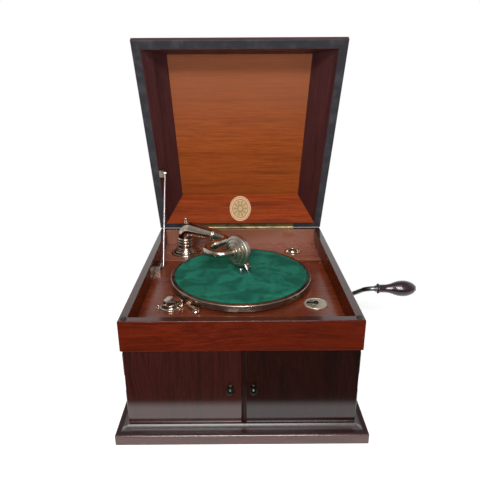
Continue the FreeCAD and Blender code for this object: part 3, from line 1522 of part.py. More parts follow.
def main():
    os.makedirs("parts", exist_ok=True)
    casing()
    deck()
    lid()
    doors()
    turntable()
    brake()
    needle_cups()
    speed_control()
    tone_arm()
    horn()
    motor(crank())


main()
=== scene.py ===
import logging
import math
from dataclasses import dataclass, replace
from enum import Enum
from typing import Any, ClassVar, Iterable

import bmesh
import bpy
from mathutils import Matrix, Vector, noise


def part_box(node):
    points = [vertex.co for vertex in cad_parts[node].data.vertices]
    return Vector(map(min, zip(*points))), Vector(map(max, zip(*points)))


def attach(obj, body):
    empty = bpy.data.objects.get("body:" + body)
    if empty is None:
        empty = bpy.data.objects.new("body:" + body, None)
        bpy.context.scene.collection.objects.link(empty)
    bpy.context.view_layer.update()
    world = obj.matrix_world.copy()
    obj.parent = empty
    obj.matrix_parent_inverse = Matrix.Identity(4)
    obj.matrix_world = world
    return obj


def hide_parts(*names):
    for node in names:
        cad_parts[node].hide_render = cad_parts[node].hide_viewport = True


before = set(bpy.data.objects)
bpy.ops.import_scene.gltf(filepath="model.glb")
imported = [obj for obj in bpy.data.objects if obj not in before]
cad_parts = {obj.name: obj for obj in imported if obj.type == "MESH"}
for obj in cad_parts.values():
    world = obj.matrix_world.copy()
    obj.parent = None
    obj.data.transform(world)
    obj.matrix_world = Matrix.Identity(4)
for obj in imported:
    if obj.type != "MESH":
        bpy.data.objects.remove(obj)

LOG = logging.getLogger("gramophone")
MM = 0.001
UP = Vector((0.0, 0.0, 1.0))
WHITE = (1.0, 1.0, 1.0)
Colour = tuple[float, float, float]
Span = tuple[float, float]
Socket = bpy.types.NodeSocket
Node = bpy.types.Node
Outputs = bpy.types.NodeOutputs
Piece = bpy.types.Object
Shape = bmesh.types.BMesh


@dataclass(frozen=True)
class Layer:
    """One layer of noise; a stretch below 1 draws it out along an axis."""

    scale: float
    detail: float = 3.0
    rough: float = 0.55
    twist: float = 0.0
    stretch: tuple[float, float, float] | None = None


class Bench:
    """Sets out and joins the nodes of one shader tree."""

    def __init__(self, tree: bpy.types.NodeTree) -> None:
        """Take up the node tree of a material, a world or an effect."""
        self.tree = tree

    def feed(self, socket: Socket, value: Any) -> None:
        """Give a socket a link or a fixed value.

        Args:
            socket: The input to fill.
            value: An output socket, a number, or three numbers of a colour or vector.
        """
        if isinstance(value, Socket):
            self.tree.links.new(value, socket)
        elif socket.type == "RGBA" and len(value) == 3:
            socket.default_value = (*value, 1.0)
        else:
            socket.default_value = value

    def fill(self, node: Node, inputs: dict[str | int, Any]) -> None:
        """Feed several inputs of a node, told by name or number."""
        for key, value in inputs.items():
            self.feed(node.inputs[key], value)

    def put(self, kind: str, inputs: dict[str | int, Any] | None = None, **settings: Any) -> Node:
        """Add a node.

        Args:
            kind: Blender's name of the node's type.
            inputs: Values or sockets by the input's name or number.
            **settings: Properties of the node itself.

        Returns:
            The new node.
        """
        node = self.tree.nodes.new(kind)
        for name, value in settings.items():
            setattr(node, name, value)
        self.fill(node, inputs or {})
        return node

    def maths(self, operation: str, *values: Any) -> Socket:
        """Add a Math node and return its output."""
        return self.put("ShaderNodeMath", dict(enumerate(values)), operation=operation).outputs[0]

    def times(self, first: Any, second: Any) -> Socket:
        """Return the product of two numbers."""
        return self.maths("MULTIPLY", first, second)

    def minus(self, first: Any, second: Any) -> Socket:
        """Return the difference of two numbers."""
        return self.maths("SUBTRACT", first, second)

    def vectors(self, operation: str, *values: Any) -> Socket:
        """Add a Vector Math node and return its vector, or its number where it gives one."""
        node = self.put("ShaderNodeVectorMath", dict(enumerate(values)), operation=operation)
        return node.outputs["Value" if operation in ("DOT_PRODUCT", "LENGTH") else "Vector"]

    def scaled(self, vector: Socket, share: Any) -> Socket:
        """Return a vector times one number."""
        inputs = {0: vector, "Scale": share}
        return self.put("ShaderNodeVectorMath", inputs, operation="SCALE").outputs[0]

    def blend(self, share: Any, first: Any, second: Any) -> Socket:
        """Mix two colours by the share of the second; a Mix node has them at inputs 6 and 7."""
        inputs = {0: share, 6: first, 7: second}
        return self.put("ShaderNodeMix", inputs, data_type="RGBA", clamp_factor=True).outputs[2]

    def either(self, share: Any, first: Any, second: Any) -> Socket:
        """Mix two vectors by the share of the second; a Mix node has them at inputs 4 and 5."""
        inputs = {0: share, 4: first, 5: second}
        return self.put("ShaderNodeMix", inputs, data_type="VECTOR").outputs[1]

    def mixed(self, share: Socket, first: Socket, second: Socket) -> Socket:
        """Mix two shaders by the share of the second."""
        return self.put("ShaderNodeMixShader", {0: share, 1: first, 2: second}).outputs[0]

    def span(self, value: Any, low: float, high: float, start: Any = 0.0, end: Any = 1.0) -> Socket:
        """Map a value smoothly from one range to another, held at the ends."""
        inputs = dict(enumerate((value, low, high, start, end)))
        return self.put("ShaderNodeMapRange", inputs, interpolation_type="SMOOTHSTEP").outputs[0]

    def cloud(self, at: Socket, layer: Layer) -> Outputs:
        """Add a layer of noise.

        Args:
            at: Where it is looked up.
            layer: The noise.

        Returns:
            The texture's outputs, value first and colour second.
        """
        if layer.stretch:
            at = self.vectors("MULTIPLY", at, layer.stretch)
        return self.put("ShaderNodeTexNoise", {
            "Vector": at, "Scale": layer.scale, "Detail": layer.detail,
            "Roughness": layer.rough, "Distortion": layer.twist}).outputs

    def parts(self, vector: Socket) -> tuple[Socket, ...]:
        """Split a vector into its three numbers."""
        return tuple(self.put("ShaderNodeSeparateXYZ", {"Vector": vector}).outputs)

    def joined(self, x: Any, y: Any, z: Any) -> Socket:
        """Join three numbers into a vector."""
        return self.put("ShaderNodeCombineXYZ", {"X": x, "Y": y, "Z": z}).outputs[0]

    def place(self) -> Socket:
        """Return the position on the piece, which rides along with it."""
        return self.put("ShaderNodeTexCoord").outputs["Object"]

    def bump(self, height: Socket, strength: float, depth: float) -> Socket:
        """Return a normal bent by a height that stands for so many metres where it is 1."""
        inputs = {"Strength": strength, "Distance": depth, "Height": height}
        return self.put("ShaderNodeBump", inputs).outputs[0]


class Port(Enum):
    """Kinds of inputs and outputs of an effect."""

    NUMBER = "NodeSocketFloat"
    COLOUR = "NodeSocketColor"
    VECTOR = "NodeSocketVector"


class Effect:
    """A shader node group that several finishes share."""

    name: ClassVar[str]
    takes: ClassVar[dict[str, Port]]
    gives: ClassVar[dict[str, Port]]

    def wire(self, bench: Bench, given: Outputs) -> dict[str, Socket]:
        """Set out the group's inside.

        Args:
            bench: Bench of the group's own tree.
            given: The group's inputs.

        Returns:
            A socket for each output's name.
        """
        raise NotImplementedError

    def tree(self) -> bpy.types.NodeTree:
        """Return the group's tree, made at its first use."""
        found = bpy.data.node_groups.get(self.name)
        if found:
            return found
        tree = bpy.data.node_groups.new(self.name, "ShaderNodeTree")
        for way, ports in (("INPUT", self.takes), ("OUTPUT", self.gives)):
            for name, port in ports.items():
                tree.interface.new_socket(name, in_out=way, socket_type=port.value)
        bench = Bench(tree)
        given = bench.put("NodeGroupInput").outputs
        bench.fill(bench.put("NodeGroupOutput"), self.wire(bench, given))
        return tree

    def use(self, bench: Bench, **values: Any) -> Outputs:
        """Place the group in a material, with its inputs by name, and return its outputs."""
        return bench.put("ShaderNodeGroup", values, node_tree=self.tree()).outputs


class WoodGrain(Effect):
    """Mahogany figure that runs along the vector's X: fine lines, dark bands and open pores."""

    name = "wood_grain"
    takes = {"Vector": Port.VECTOR, "Pale": Port.COLOUR, "Dark": Port.COLOUR, "Streak": Port.COLOUR,
             "Fineness": Port.NUMBER, "Wander": Port.NUMBER, "Bands": Port.NUMBER}
    gives = {"Color": Port.COLOUR, "Height": Port.NUMBER}
    drift = Layer(3.1, 2.0)
    drift_reach = (0.0, 0.055, 0.055)
    lines = Layer(330.0, 4.0, 0.66, stretch=(0.022, 1.0, 1.0))
    bands = Layer(38.0, 3.0, 0.5, 0.5, stretch=(0.055, 1.0, 1.0))
    sweep = Layer(8.0, 2.0, stretch=(0.3, 1.0, 1.0))
    pores = Layer(1150.0, 1.0, stretch=(0.05, 1.0, 1.0))
    fleck = Layer(120.0, 2.0, stretch=(0.3, 1.0, 1.0))

    def wire(self, bench: Bench, given: Outputs) -> dict[str, Socket]:
        """Set out the grain."""
        at = bench.scaled(given["Vector"], given["Fineness"])
        drift = bench.vectors("SUBTRACT", bench.cloud(at, self.drift)[1], (0.5, 0.5, 0.5))
        drift = bench.scaled(bench.vectors("MULTIPLY", drift, self.drift_reach), given["Wander"])
        at = bench.vectors("ADD", at, drift)
        lines, bands, sweep, pores, fleck = (
            bench.cloud(at, layer)[0]
            for layer in (self.lines, self.bands, self.sweep, self.pores, self.fleck))
        band = bench.times(bench.span(bands, 0.5, 0.7), given["Bands"])
        pore = bench.span(pores, 0.6, 0.7)
        tone = given["Pale"]
        for share, other in (
                (bench.span(lines, 0.34, 0.68), "Dark"),
                (bench.span(sweep, 0.38, 0.72, 0.0, 0.45), "Dark"),
                (band, "Streak"),
                (bench.span(fleck, 0.58, 0.72, 0.0, 0.22), "Pale"),
                (bench.times(pore, 0.45), "Streak")):
            tone = bench.blend(share, tone, given[other])
        return {"Color": tone, "Height": bench.minus(bench.times(lines, 0.5), pore)}


class MitredRails(Effect):
    """Turns the vector so that its X runs along four mitred rails round a rectangle.

    Width and Depth are half the rectangle's.
    """

    name = "mitred_rails"
    takes = {"Vector": Port.VECTOR, "Width": Port.NUMBER, "Depth": Port.NUMBER}
    gives = {"Vector": Port.VECTOR, "Seam": Port.NUMBER, "Inset": Port.NUMBER, "Rear": Port.NUMBER}
    seam_width = 0.7 * MM
    side_shift = 2.3

    def wire(self, bench: Bench, given: Outputs) -> dict[str, Socket]:
        """Set out the turn, the mitre line, the way in from the edge and the rear rail's mask."""
        x, y, z = bench.parts(given["Vector"])
        from_side = bench.minus(given["Width"], bench.maths("ABSOLUTE", x))
        from_end = bench.minus(given["Depth"], bench.maths("ABSOLUTE", y))
        side = bench.maths("LESS_THAN", from_side, from_end)
        along = bench.joined(bench.maths("ADD", x, bench.maths("SIGN", y)), y, z)
        shift = bench.times(bench.maths("SIGN", x), self.side_shift)
        across = bench.joined(bench.maths("ADD", y, shift), x, z)
        apart = bench.maths("ABSOLUTE", bench.minus(from_side, from_end))
        rear = bench.times(bench.minus(1.0, side), bench.maths("GREATER_THAN", y, 0.0))
        return {"Vector": bench.either(side, along, across),
                "Seam": bench.span(apart, 0.0, self.seam_width, 1.0, 0.0),
                "Inset": bench.maths("MINIMUM", from_side, from_end), "Rear": rear}


class EdgeWear(Effect):
    """Mask of rubbed arrises: where a rounded normal leaves the face's own."""

    name = "edge_wear"
    takes = {"Vector": Port.VECTOR, "Radius": Port.NUMBER}
    gives = {"Mask": Port.NUMBER}
    gaps = Layer(60.0, 4.0)

    def wire(self, bench: Bench, given: Outputs) -> dict[str, Socket]:
        """Set out the mask, broken up so that it isn't an even line."""
        face = bench.put("ShaderNodeNewGeometry").outputs["Normal"]
        soft = bench.put("ShaderNodeBevel", {"Radius": given["Radius"]}, samples=6).outputs[0]
        edge = bench.span(bench.vectors("DOT_PRODUCT", face, soft), 0.985, 0.8)
        rubbed = bench.span(bench.cloud(given["Vector"], self.gaps)[0], 0.35, 0.65)
        return {"Mask": bench.times(edge, rubbed)}


class Patina(Effect):
    """Age of a hard surface: dull patches, hairline scratches and hand smudges."""

    name = "patina"
    takes = {"Vector": Port.VECTOR, "Size": Port.NUMBER}
    gives = {"Patches": Port.NUMBER, "Scratches": Port.NUMBER, "Smudge": Port.NUMBER}
    patches = Layer(55.0, 5.0, 0.62)
    hairs = Layer(900.0, 1.0, stretch=(1.0, 0.06, 0.5))
    cross_hairs = Layer(760.0, 1.0, stretch=(0.05, 1.0, 0.4))
    smudge = Layer(17.0)

    def wire(self, bench: Bench, given: Outputs) -> dict[str, Socket]:
        """Set out the three masks."""
        at = bench.scaled(given["Vector"], given["Size"])
        patches, hairs, cross_hairs, smudge = (
            bench.cloud(at, layer)[0]
            for layer in (self.patches, self.hairs, self.cross_hairs, self.smudge))
        scratches = bench.maths("MAXIMUM", hairs, cross_hairs)
        return {"Patches": bench.span(patches, 0.44, 0.68), "Smudge": bench.span(smudge, 0.3, 0.7),
                "Scratches": bench.span(scratches, 0.69, 0.75)}


WOOD_GRAIN = WoodGrain()
MITRED_RAILS = MitredRails()
EDGE_WEAR = EdgeWear()
PATINA = Patina()


LID_HINGE = (0.0, 246.0 * MM, 243.5 * MM)
LID_OPEN = math.radians(65.0)
DECK_SEAM = 114.0 * MM


def shut_lid(bench: Bench, at: Socket) -> Socket:
    """Return the place that a point of the open lid has when the lid is shut."""
    inputs = {"Vector": at, "Center": LID_HINGE, "Angle": LID_OPEN}
    return bench.put("ShaderNodeVectorRotate", inputs, rotation_type="X_AXIS").outputs[0]


class Round(Enum):
    """Rectangles that mitred boards run round, by half their width and depth in metres."""

    RIM = (210.0 * MM, 249.0 * MM)
    PLINTH = (230.0 * MM, 269.0 * MM)
    LID = (212.0 * MM, 249.0 * MM)

    def rails(self, bench: Bench, at: Socket) -> Outputs:
        """Return the outputs that tell the boards and their faces apart."""
        return MITRED_RAILS.use(bench, Vector=at, Width=self.value[0], Depth=self.value[1])


class Grain(Enum):
    """Which way the grain of a board runs."""

    ALONG_X = "x"
    ALONG_Y = "y"
    ALONG_Z = "z"
    RIM = "rim"
    PLINTH = "plinth"
    LID = "lid"

    def run(self, bench: Bench, at: Socket) -> tuple[Socket, Socket | None]:
        """Turn positions so that X runs along the grain.

        Args:
            bench: Bench of the material's tree.
            at: Position on the piece.

        Returns:
            The turned vector, and the mask of the mitre lines where there are some.
        """
        if self in (Grain.RIM, Grain.PLINTH):
            rails = Round[self.name].rails(bench, at)
            return rails["Vector"], rails["Seam"]
        if self is Grain.LID:
            return shut_lid(bench, at), None
        if self is Grain.ALONG_X:
            return at, None
        x, y, z = bench.parts(at)
        return bench.joined(*((y, x, z) if self is Grain.ALONG_Y else (z, x, y))), None


class Finish:
    """A surface that can be given to nodes and pieces."""

    name: str

    def dress(self, bench: Bench, at: Socket) -> dict[str, Any]:
        """Set out the surface.

        Args:
            bench: Bench of the material's tree.
            at: Position on the piece.

        Returns:
            Inputs of the material's Principled BSDF by name.
        """
        raise NotImplementedError

    def material(self) -> bpy.types.Material:
        """Return the material, made at its first use."""
        found = bpy.data.materials.get(self.name)
        if found:
            return found
        made = bpy.data.materials.new(self.name)
        made.use_nodes = True
        made.node_tree.nodes.clear()
        bench = Bench(made.node_tree)
        shader = bench.put("ShaderNodeBsdfPrincipled", self.dress(bench, bench.place()))
        bench.put("ShaderNodeOutputMaterial", {"Surface": shader.outputs[0]})
        return made

    def give(self, *objects: Piece) -> None:
        """Put the material in every slot of some objects."""
        for piece in objects:
            if not piece.material_slots:
                piece.data.materials.append(None)
            for slot in piece.material_slots:
                slot.material = self.material()


class Where(Enum):
    """What a mark on varnished wood goes by, in metres or as a mask."""

    ACROSS = "distance from the casing's middle"
    DEPTH = "place from front to rear"
    HEIGHT = "height"
    FROM_SEAM = "distance from the seam between the deck boards"
    SHUT_DEPTH = "place from front to rear when the lid is shut"
    RIM_INSET = "way in from the rim's outside"
    RIM_REAR = "mask of the rim's rear rail"
    PLINTH_INSET = "way in from the plinth's outside"

    def measure(self, bench: Bench, at: Socket) -> Socket:
        """Set out the measure.

        Args:
            bench: Bench of the material's tree.
            at: Position on the piece.

        Returns:
            The measure at that position.
        """
        if self is Where.PLINTH_INSET:
            return Round.PLINTH.rails(bench, at)["Inset"]
        if self in (Where.RIM_INSET, Where.RIM_REAR):
            return Round.RIM.rails(bench, at)["Rear" if self is Where.RIM_REAR else "Inset"]
        x, y, z = bench.parts(shut_lid(bench, at) if self is Where.SHUT_DEPTH else at)
        if self is Where.ACROSS:
            return bench.maths("ABSOLUTE", x)
        if self is Where.FROM_SEAM:
            return bench.maths("ABSOLUTE", bench.minus(y, DECK_SEAM))
        return z if self is Where.HEIGHT else y


@dataclass(frozen=True)
class Mark:
    """A share that changes along a measure, from or to a number or another mark's share."""

    where: Where
    turn: Span
    start: "float | Mark"
    end: "float | Mark"
    tone: Colour = WHITE

    def share(self, bench: Bench, at: Socket) -> Socket:
        """Return the share at a position."""
        ends = (end.share(bench, at) if isinstance(end, Mark) else end
                for end in (self.start, self.end))
        return bench.span(self.where.measure(bench, at), *self.turn, *ends)


@dataclass(frozen=True)
class Varnish(Finish):
    """Varnished wood with grain, rubbed edges, mitre lines and an uneven gloss.

    Its tone marks are stains and also painted light and shade, and its thin places are marks that
    weaken the coat.
    """

    name: str
    pale: Colour
    dark: Colour
    streak: Colour
    edge: Colour
    grain: Grain = Grain.ALONG_X
    fineness: float = 1.0
    wander: float = 1.0
    bands: float = 0.6
    worn: float = 0.5
    gloss: Span = (0.22, 0.36)
    coat: float = 0.8
    coat_rough: float = 0.1
    coat_index: float = 1.5
    specular: float = 0.3
    relief: float = 0.12
    seam: float = 0.75
    age_size: float = 1.0
    wear_radius: float = 1.4 * MM
    stains_and_painted_light: tuple[Mark, ...] = ()
    thin: tuple[Mark, ...] = ()
    worn_rough: float = 0.15
    scratch_loss: float = 0.25
    grain_depth: float = 0.25 * MM

    def grained(self, bench: Bench, run: Socket, *tones: Colour) -> Outputs:
        """Return the grain's outputs, in the finish's own three tones or in other ones."""
        pale, dark, streak = tones or (self.pale, self.dark, self.streak)
        return WOOD_GRAIN.use(bench, Vector=run, Pale=pale, Dark=dark, Streak=streak,
                              Fineness=self.fineness, Wander=self.wander, Bands=self.bands)

    def coated(self, bench: Bench, at: Socket, coat: Socket) -> Socket:
        """Return the weight of the clear coat, weakened at the thin places."""
        for mark in self.thin:
            coat = bench.times(coat, mark.share(bench, at))
        return coat

    def figured(self, bench: Bench, at: Socket, age: Outputs) -> tuple[Socket, Socket]:
        """Set out the wood before it is worn.

        Args:
            bench: Bench of the material's tree.
            at: Position on the piece.
            age: Outputs of the patina; not used here, but read by the lid's override.

        Returns:
            The wood's colour and its height.
        """
        run, seam = self.grain.run(bench, at)
        grain = self.grained(bench, run)
        tone = grain["Color"]
        if seam:
            tone = bench.blend(bench.times(seam, self.seam), tone, self.streak)
        # Tone marks: real stains, and painted light and shade where a finish has them.
        for mark in self.stains_and_painted_light:
            tone = bench.blend(mark.share(bench, at), tone, mark.tone)
        return tone, grain["Height"]

    def dress(self, bench: Bench, at: Socket) -> dict[str, Any]:
        """Set out the grain and the age of the varnish."""
        age = PATINA.use(bench, Vector=at, Size=self.age_size)
        wear = EDGE_WEAR.use(bench, Vector=at, Radius=self.wear_radius)["Mask"]
        tone, height = self.figured(bench, at, age)
        rough = bench.span(age["Smudge"], 0.0, 1.0, *self.gloss)
        loss = -self.scratch_loss * self.coat
        coat = bench.maths("MULTIPLY_ADD", age["Scratches"], loss, self.coat)
        return {
            "Base Color": bench.blend(bench.times(wear, self.worn), tone, self.edge),
            "Roughness": bench.maths("MULTIPLY_ADD", wear, self.worn_rough, rough),
            "Coat Weight": self.coated(bench, at, coat), "Coat Roughness": self.coat_rough,
            "Coat IOR": self.coat_index, "Specular IOR Level": self.specular,
            "Normal": bench.bump(height, self.relief, self.grain_depth)}


@dataclass(frozen=True)
class LidVarnish(Varnish):
    """Lid frame: a bright wall by the hinge, darker walls at the sides and a black rim."""

    bright: tuple[Colour, Colour, Colour] = (
        (0.285, 0.046, 0.0070), (0.165, 0.024, 0.0040), (0.085, 0.013, 0.004))
    rim: Colour = (0.030, 0.029, 0.034)
    lip_turn: Span = (1.0 * MM, 4.0 * MM)
    floor: float = 245.0 * MM
    lining: float = 17.2 * MM
    slope: float = 40.0 / 69.0

    def masks(self, bench: Bench, at: Socket) -> tuple[Outputs, Socket, Socket]:
        """Tell the parts of the lid apart by where they are on the shut lid.

        Args:
            bench: Bench of the material's tree.
            at: Position on the piece.

        Returns:
            The walls, the height over the rim's face and the mask of the inside.
        """
        shut = shut_lid(bench, at)
        walls = Round.LID.rails(bench, shut)
        height = bench.minus(bench.parts(shut)[2], self.floor)
        lining = bench.maths("MULTIPLY_ADD", height, self.slope, self.lining)
        return walls, height, bench.maths("GREATER_THAN", walls["Inset"], lining)

    def figured(self, bench: Bench, at: Socket, age: Outputs) -> tuple[Socket, Socket]:
        """Return the colour of the bright wall, the darker walls and the rim, and the darker
        grain's height.
        """
        walls, height, inside = self.masks(bench, at)
        bright = self.grained(bench, walls["Vector"], *self.bright)["Color"]
        stained = self.grained(bench, walls["Vector"])
        rim = bench.blend(age["Patches"], self.rim, self.edge)
        outer = bench.blend(bench.span(height, *self.lip_turn, 1.0, 0.0), stained["Color"], rim)
        lining = bench.blend(walls["Rear"], stained["Color"], bright)
        tone = bench.blend(inside, outer, lining)
        tone = bench.blend(bench.times(walls["Seam"], self.seam), tone, self.streak)
        return tone, stained["Height"]

    def coated(self, bench: Bench, at: Socket, coat: Socket) -> Socket:
        """Return the weight of the coat, which the bright wall doesn't have."""
        walls, _, inside = self.masks(bench, at)
        return bench.times(coat, bench.minus(1.0, bench.times(inside, walls["Rear"])))


@dataclass(frozen=True)
class Metal(Finish):
    """Plated, cast or turned metal with tarnish, hairlines and brighter arrises."""

    name: str
    bright: Colour
    tarnish: Colour
    tarnished: float = 0.5
    gloss: Span = (0.12, 0.3)
    rubbed: float = 0.4
    size: float = 1.0
    relief: float = 0.05
    metallic: float = 1.0
    wear_radius: float = 0.8 * MM
    tarnish_rough: float = 0.12
    scratch_rough: float = 0.08
    scratch_height: float = -0.6
    patch_depth: float = 0.08 * MM

    def dress(self, bench: Bench, at: Socket) -> dict[str, Any]:
        """Set out the metal's colour and wear."""
        age = PATINA.use(bench, Vector=at, Size=self.size)
        wear = EDGE_WEAR.use(bench, Vector=at, Radius=self.wear_radius)["Mask"]
        dull = bench.times(age["Patches"], self.tarnished)
        tone = bench.blend(dull, self.bright, self.tarnish)
        rough = bench.span(age["Smudge"], 0.0, 1.0, *self.gloss)
        rough = bench.maths("MULTIPLY_ADD", dull, self.tarnish_rough, rough)
        height = bench.maths("MULTIPLY_ADD", age["Scratches"], self.scratch_height, age["Patches"])
        return {
            "Base Color": bench.blend(bench.times(wear, self.rubbed), tone, self.bright),
            "Roughness": bench.maths("MULTIPLY_ADD", age["Scratches"], self.scratch_rough, rough),
            "Metallic": self.metallic, "Normal": bench.bump(height, self.relief, self.patch_depth)}


@dataclass(frozen=True)
class Felt(Finish):
    """Pressed wool felt with a nap that lies in blotches and painted shade darkening its edge."""

    name: str
    light: Colour
    deep: Colour
    faded: Colour
    radius: float
    centre_y: float
    nap: Layer = Layer(22.0, 5.0, 0.6, 0.8)
    tufts: Layer = Layer(90.0, 3.0, 0.6, 0.3)
    fibre: Layer = Layer(1500.0, 3.0, 0.7, 2.0)
    painted_shade_width: float = 3.0 * MM

    def dress(self, bench: Bench, at: Socket) -> dict[str, Any]:
        """Set out nap, fibres and the painted shade at the edge."""
        nap, tufts, fibre = (
            bench.cloud(at, layer)[0] for layer in (self.nap, self.tufts, self.fibre))
        tone = bench.blend(bench.span(nap, 0.36, 0.62), self.deep, self.light)
        tone = bench.blend(bench.span(tufts, 0.48, 0.72, 0.0, 0.45), tone, self.deep)
        tone = bench.blend(bench.span(fibre, 0.5, 0.75, 0.0, 0.35), tone, self.faded)
        flat = bench.vectors("SUBTRACT", at, (0.0, self.centre_y, 0.0))
        out = bench.vectors("LENGTH", bench.vectors("MULTIPLY", flat, (1.0, 1.0, 0.0)))
        # Painted shade: the felt darkens to its deep tone over the last few millimetres to its
        # edge.
        painted_shade_edge = bench.span(out, self.radius - self.painted_shade_width, self.radius, 0.0, 0.85)
        height = bench.maths("MULTIPLY_ADD", tufts, 1.4, bench.times(fibre, 0.5))
        return {
            "Base Color": bench.blend(painted_shade_edge, tone, self.deep),
            "Roughness": bench.span(fibre, 0.2, 0.8, 0.85, 1.0), "Sheen Weight": 0.12,
            "Sheen Roughness": 0.6, "Sheen Tint": self.faded, "Specular IOR Level": 0.08,
            "Normal": bench.bump(height, 0.55, 0.6 * MM)}


@dataclass(frozen=True)
class Rubber(Finish):
    """Old black rubber or ebonite, greyed in patches."""

    name: str
    fresh: Colour = (0.018, 0.017, 0.017)
    grey: Colour = (0.07, 0.066, 0.062)
    size: float = 2.0
    grain: Layer = Layer(2200.0, 2.0)

    def dress(self, bench: Bench, at: Socket) -> dict[str, Any]:
        """Set out the greyed patches and a fine grain."""
        age = PATINA.use(bench, Vector=at, Size=self.size)
        return {
            "Base Color": bench.blend(age["Patches"], self.fresh, self.grey),
            "Roughness": bench.span(age["Smudge"], 0.0, 1.0, 0.5, 0.75),
            "Normal": bench.bump(bench.cloud(at, self.grain)[0], 0.2, 0.1 * MM)}


@dataclass(frozen=True)
class Mica(Finish):
    """Thin split mica with cloudy flakes."""

    name: str
    clear: Colour = (0.62, 0.56, 0.44)
    cloudy: Colour = (0.78, 0.75, 0.68)
    flake_scale: float = 160.0

    def dress(self, bench: Bench, at: Socket) -> dict[str, Any]:
        """Set out flakes."""
        inputs = {"Vector": at, "Scale": self.flake_scale}
        share = bench.parts(bench.put("ShaderNodeTexVoronoi", inputs).outputs["Color"])[0]
        return {
            "Base Color": bench.blend(share, self.clear, self.cloudy),
            "Roughness": bench.span(share, 0.0, 1.0, 0.12, 0.3),
            "Normal": bench.bump(share, 0.1, 0.05 * MM)}


@dataclass(frozen=True)
class Rosette(Finish):
    """Oval plate of gilded card: a pale border round a plain turned rosette."""

    name: str
    ground: Colour
    border: Colour
    line: Colour
    centre: tuple[float, float, float]
    half_width: float
    half_height: float
    petals: float = 10.0
    petal_reach: float = 0.62
    petal_wave: float = 0.035
    eye: float = 0.24
    rings: tuple[Span, ...] = ((0.9, 0.03), (0.72, 0.06), (0.24, 0.06))
    size: float = 1.6

    def length(self, bench: Bench, first: Socket, second: Socket) -> Socket:
        """Return the length of two numbers at right angles."""
        squares = (bench.times(value, value) for value in (first, second))
        return bench.maths("SQRT", bench.maths("ADD", *squares))

    def dress(self, bench: Bench, at: Socket) -> dict[str, Any]:
        """Set out the border, the rings and the petals."""
        x, y, z = bench.parts(bench.vectors("SUBTRACT", shut_lid(bench, at), self.centre))
        lift = bench.times(self.length(bench, y, z), bench.maths("SIGN", z))
        across = bench.maths("DIVIDE", x, self.half_width)
        upward = bench.maths("DIVIDE", lift, self.half_height)
        out = self.length(bench, across, upward)
        angle = bench.maths("ARCTAN2", upward, across)
        petal = bench.maths("COSINE", bench.times(angle, self.petals))
        reach = bench.maths("MULTIPLY_ADD", petal, self.petal_wave, self.petal_reach)
        fan = bench.span(petal, -0.3, 0.3, 0.0, 0.55)
        fan = bench.times(fan, bench.maths("GREATER_THAN", out, self.eye))
        tone = bench.blend(fan, self.ground, self.line)
        tone = bench.blend(bench.maths("LESS_THAN", out, reach), self.border, tone)
        for ring, width in self.rings:
            away = bench.maths("ABSOLUTE", bench.minus(out, ring))
            tone = bench.blend(bench.span(away, width * 0.5, width, 0.8, 0.0), tone, self.line)
        age = PATINA.use(bench, Vector=at, Size=self.size)
        return {
            "Base Color": bench.blend(bench.times(age["Patches"], 0.35), tone, self.ground),
            "Roughness": bench.span(age["Smudge"], 0.0, 1.0, 0.35, 0.55),
            "Normal": bench.bump(fan, 0.15, 0.1 * MM)}


RIM_INSIDE = (14.4 * MM, 14.8 * MM)
RIM_TOP = (241.4 * MM, 241.9 * MM)
DOOR_FOOT = Mark(Where.HEIGHT, (78.0 * MM, 98.0 * MM), 1.0, 0.4)
DOOR_BEAD = Mark(Where.ACROSS, (7.0 * MM, 8.0 * MM), 0.1, 1.0)
MAHOGANY = Varnish(
    "mahogany_rim", (0.110, 0.0110, 0.0022), (0.052, 0.0055, 0.0014), (0.026, 0.004, 0.002),
    (0.22, 0.08, 0.04), Grain.RIM, worn=0.2, coat=1.0, coat_rough=0.12, specular=0.05,
    stains_and_painted_light=(Mark(Where.RIM_INSET, RIM_INSIDE, 0.0, Mark(Where.RIM_REAR, (0.0, 1.0), 0.0, 0.75),
                 (0.26, 0.100, 0.060)),
            # Painted shade: the rim's top faces are painted darker, as they take less of the
            # frontal light than the rim's front face.
            Mark(Where.HEIGHT, RIM_TOP, 0.0, 0.8, (0.042, 0.018, 0.014))),
    thin=(Mark(Where.RIM_INSET, RIM_INSIDE, Mark(Where.HEIGHT, RIM_TOP, 0.35, 1.0), 0.45),))
STAINED = Varnish(
    "stained_mahogany", (0.038, 0.0075, 0.005), (0.021, 0.0045, 0.003), (0.010, 0.003, 0.0025),
    (0.10, 0.045, 0.03), Grain.ALONG_Z, worn=0.1, gloss=(0.16, 0.26), coat=1.0, coat_rough=0.05,
    coat_index=1.85, specular=0.12, relief=0.05, thin=(DOOR_FOOT,))
STAINED_DEEP = Varnish(
    "stained_mahogany_deep", (0.018, 0.0045, 0.003), (0.010, 0.0028, 0.002), (0.005, 0.002, 0.0016),
    (0.09, 0.04, 0.03), Grain.ALONG_Z, worn=0.1, gloss=(0.16, 0.26), coat=0.85, coat_rough=0.05,
    coat_index=1.75, specular=0.1, relief=0.05, thin=(DOOR_BEAD, DOOR_FOOT))
STAINED_X = Varnish(
    "stained_mahogany_long", (0.085, 0.028, 0.022), (0.042, 0.013, 0.010), (0.018, 0.006, 0.005),
    (0.18, 0.08, 0.05), worn=0.25, coat=1.0, specular=0.5)
STAINED_Y = Varnish(
    "stained_mahogany_side", (0.040, 0.010, 0.007), (0.022, 0.006, 0.004), (0.011, 0.004, 0.003),
    (0.10, 0.045, 0.03), Grain.ALONG_Y, worn=0.1, gloss=(0.4, 0.55), coat=0.3, coat_rough=0.3,
    specular=0.1)
STAINED_BACK = replace(STAINED_Y, name="stained_mahogany_back", grain=Grain.ALONG_X)
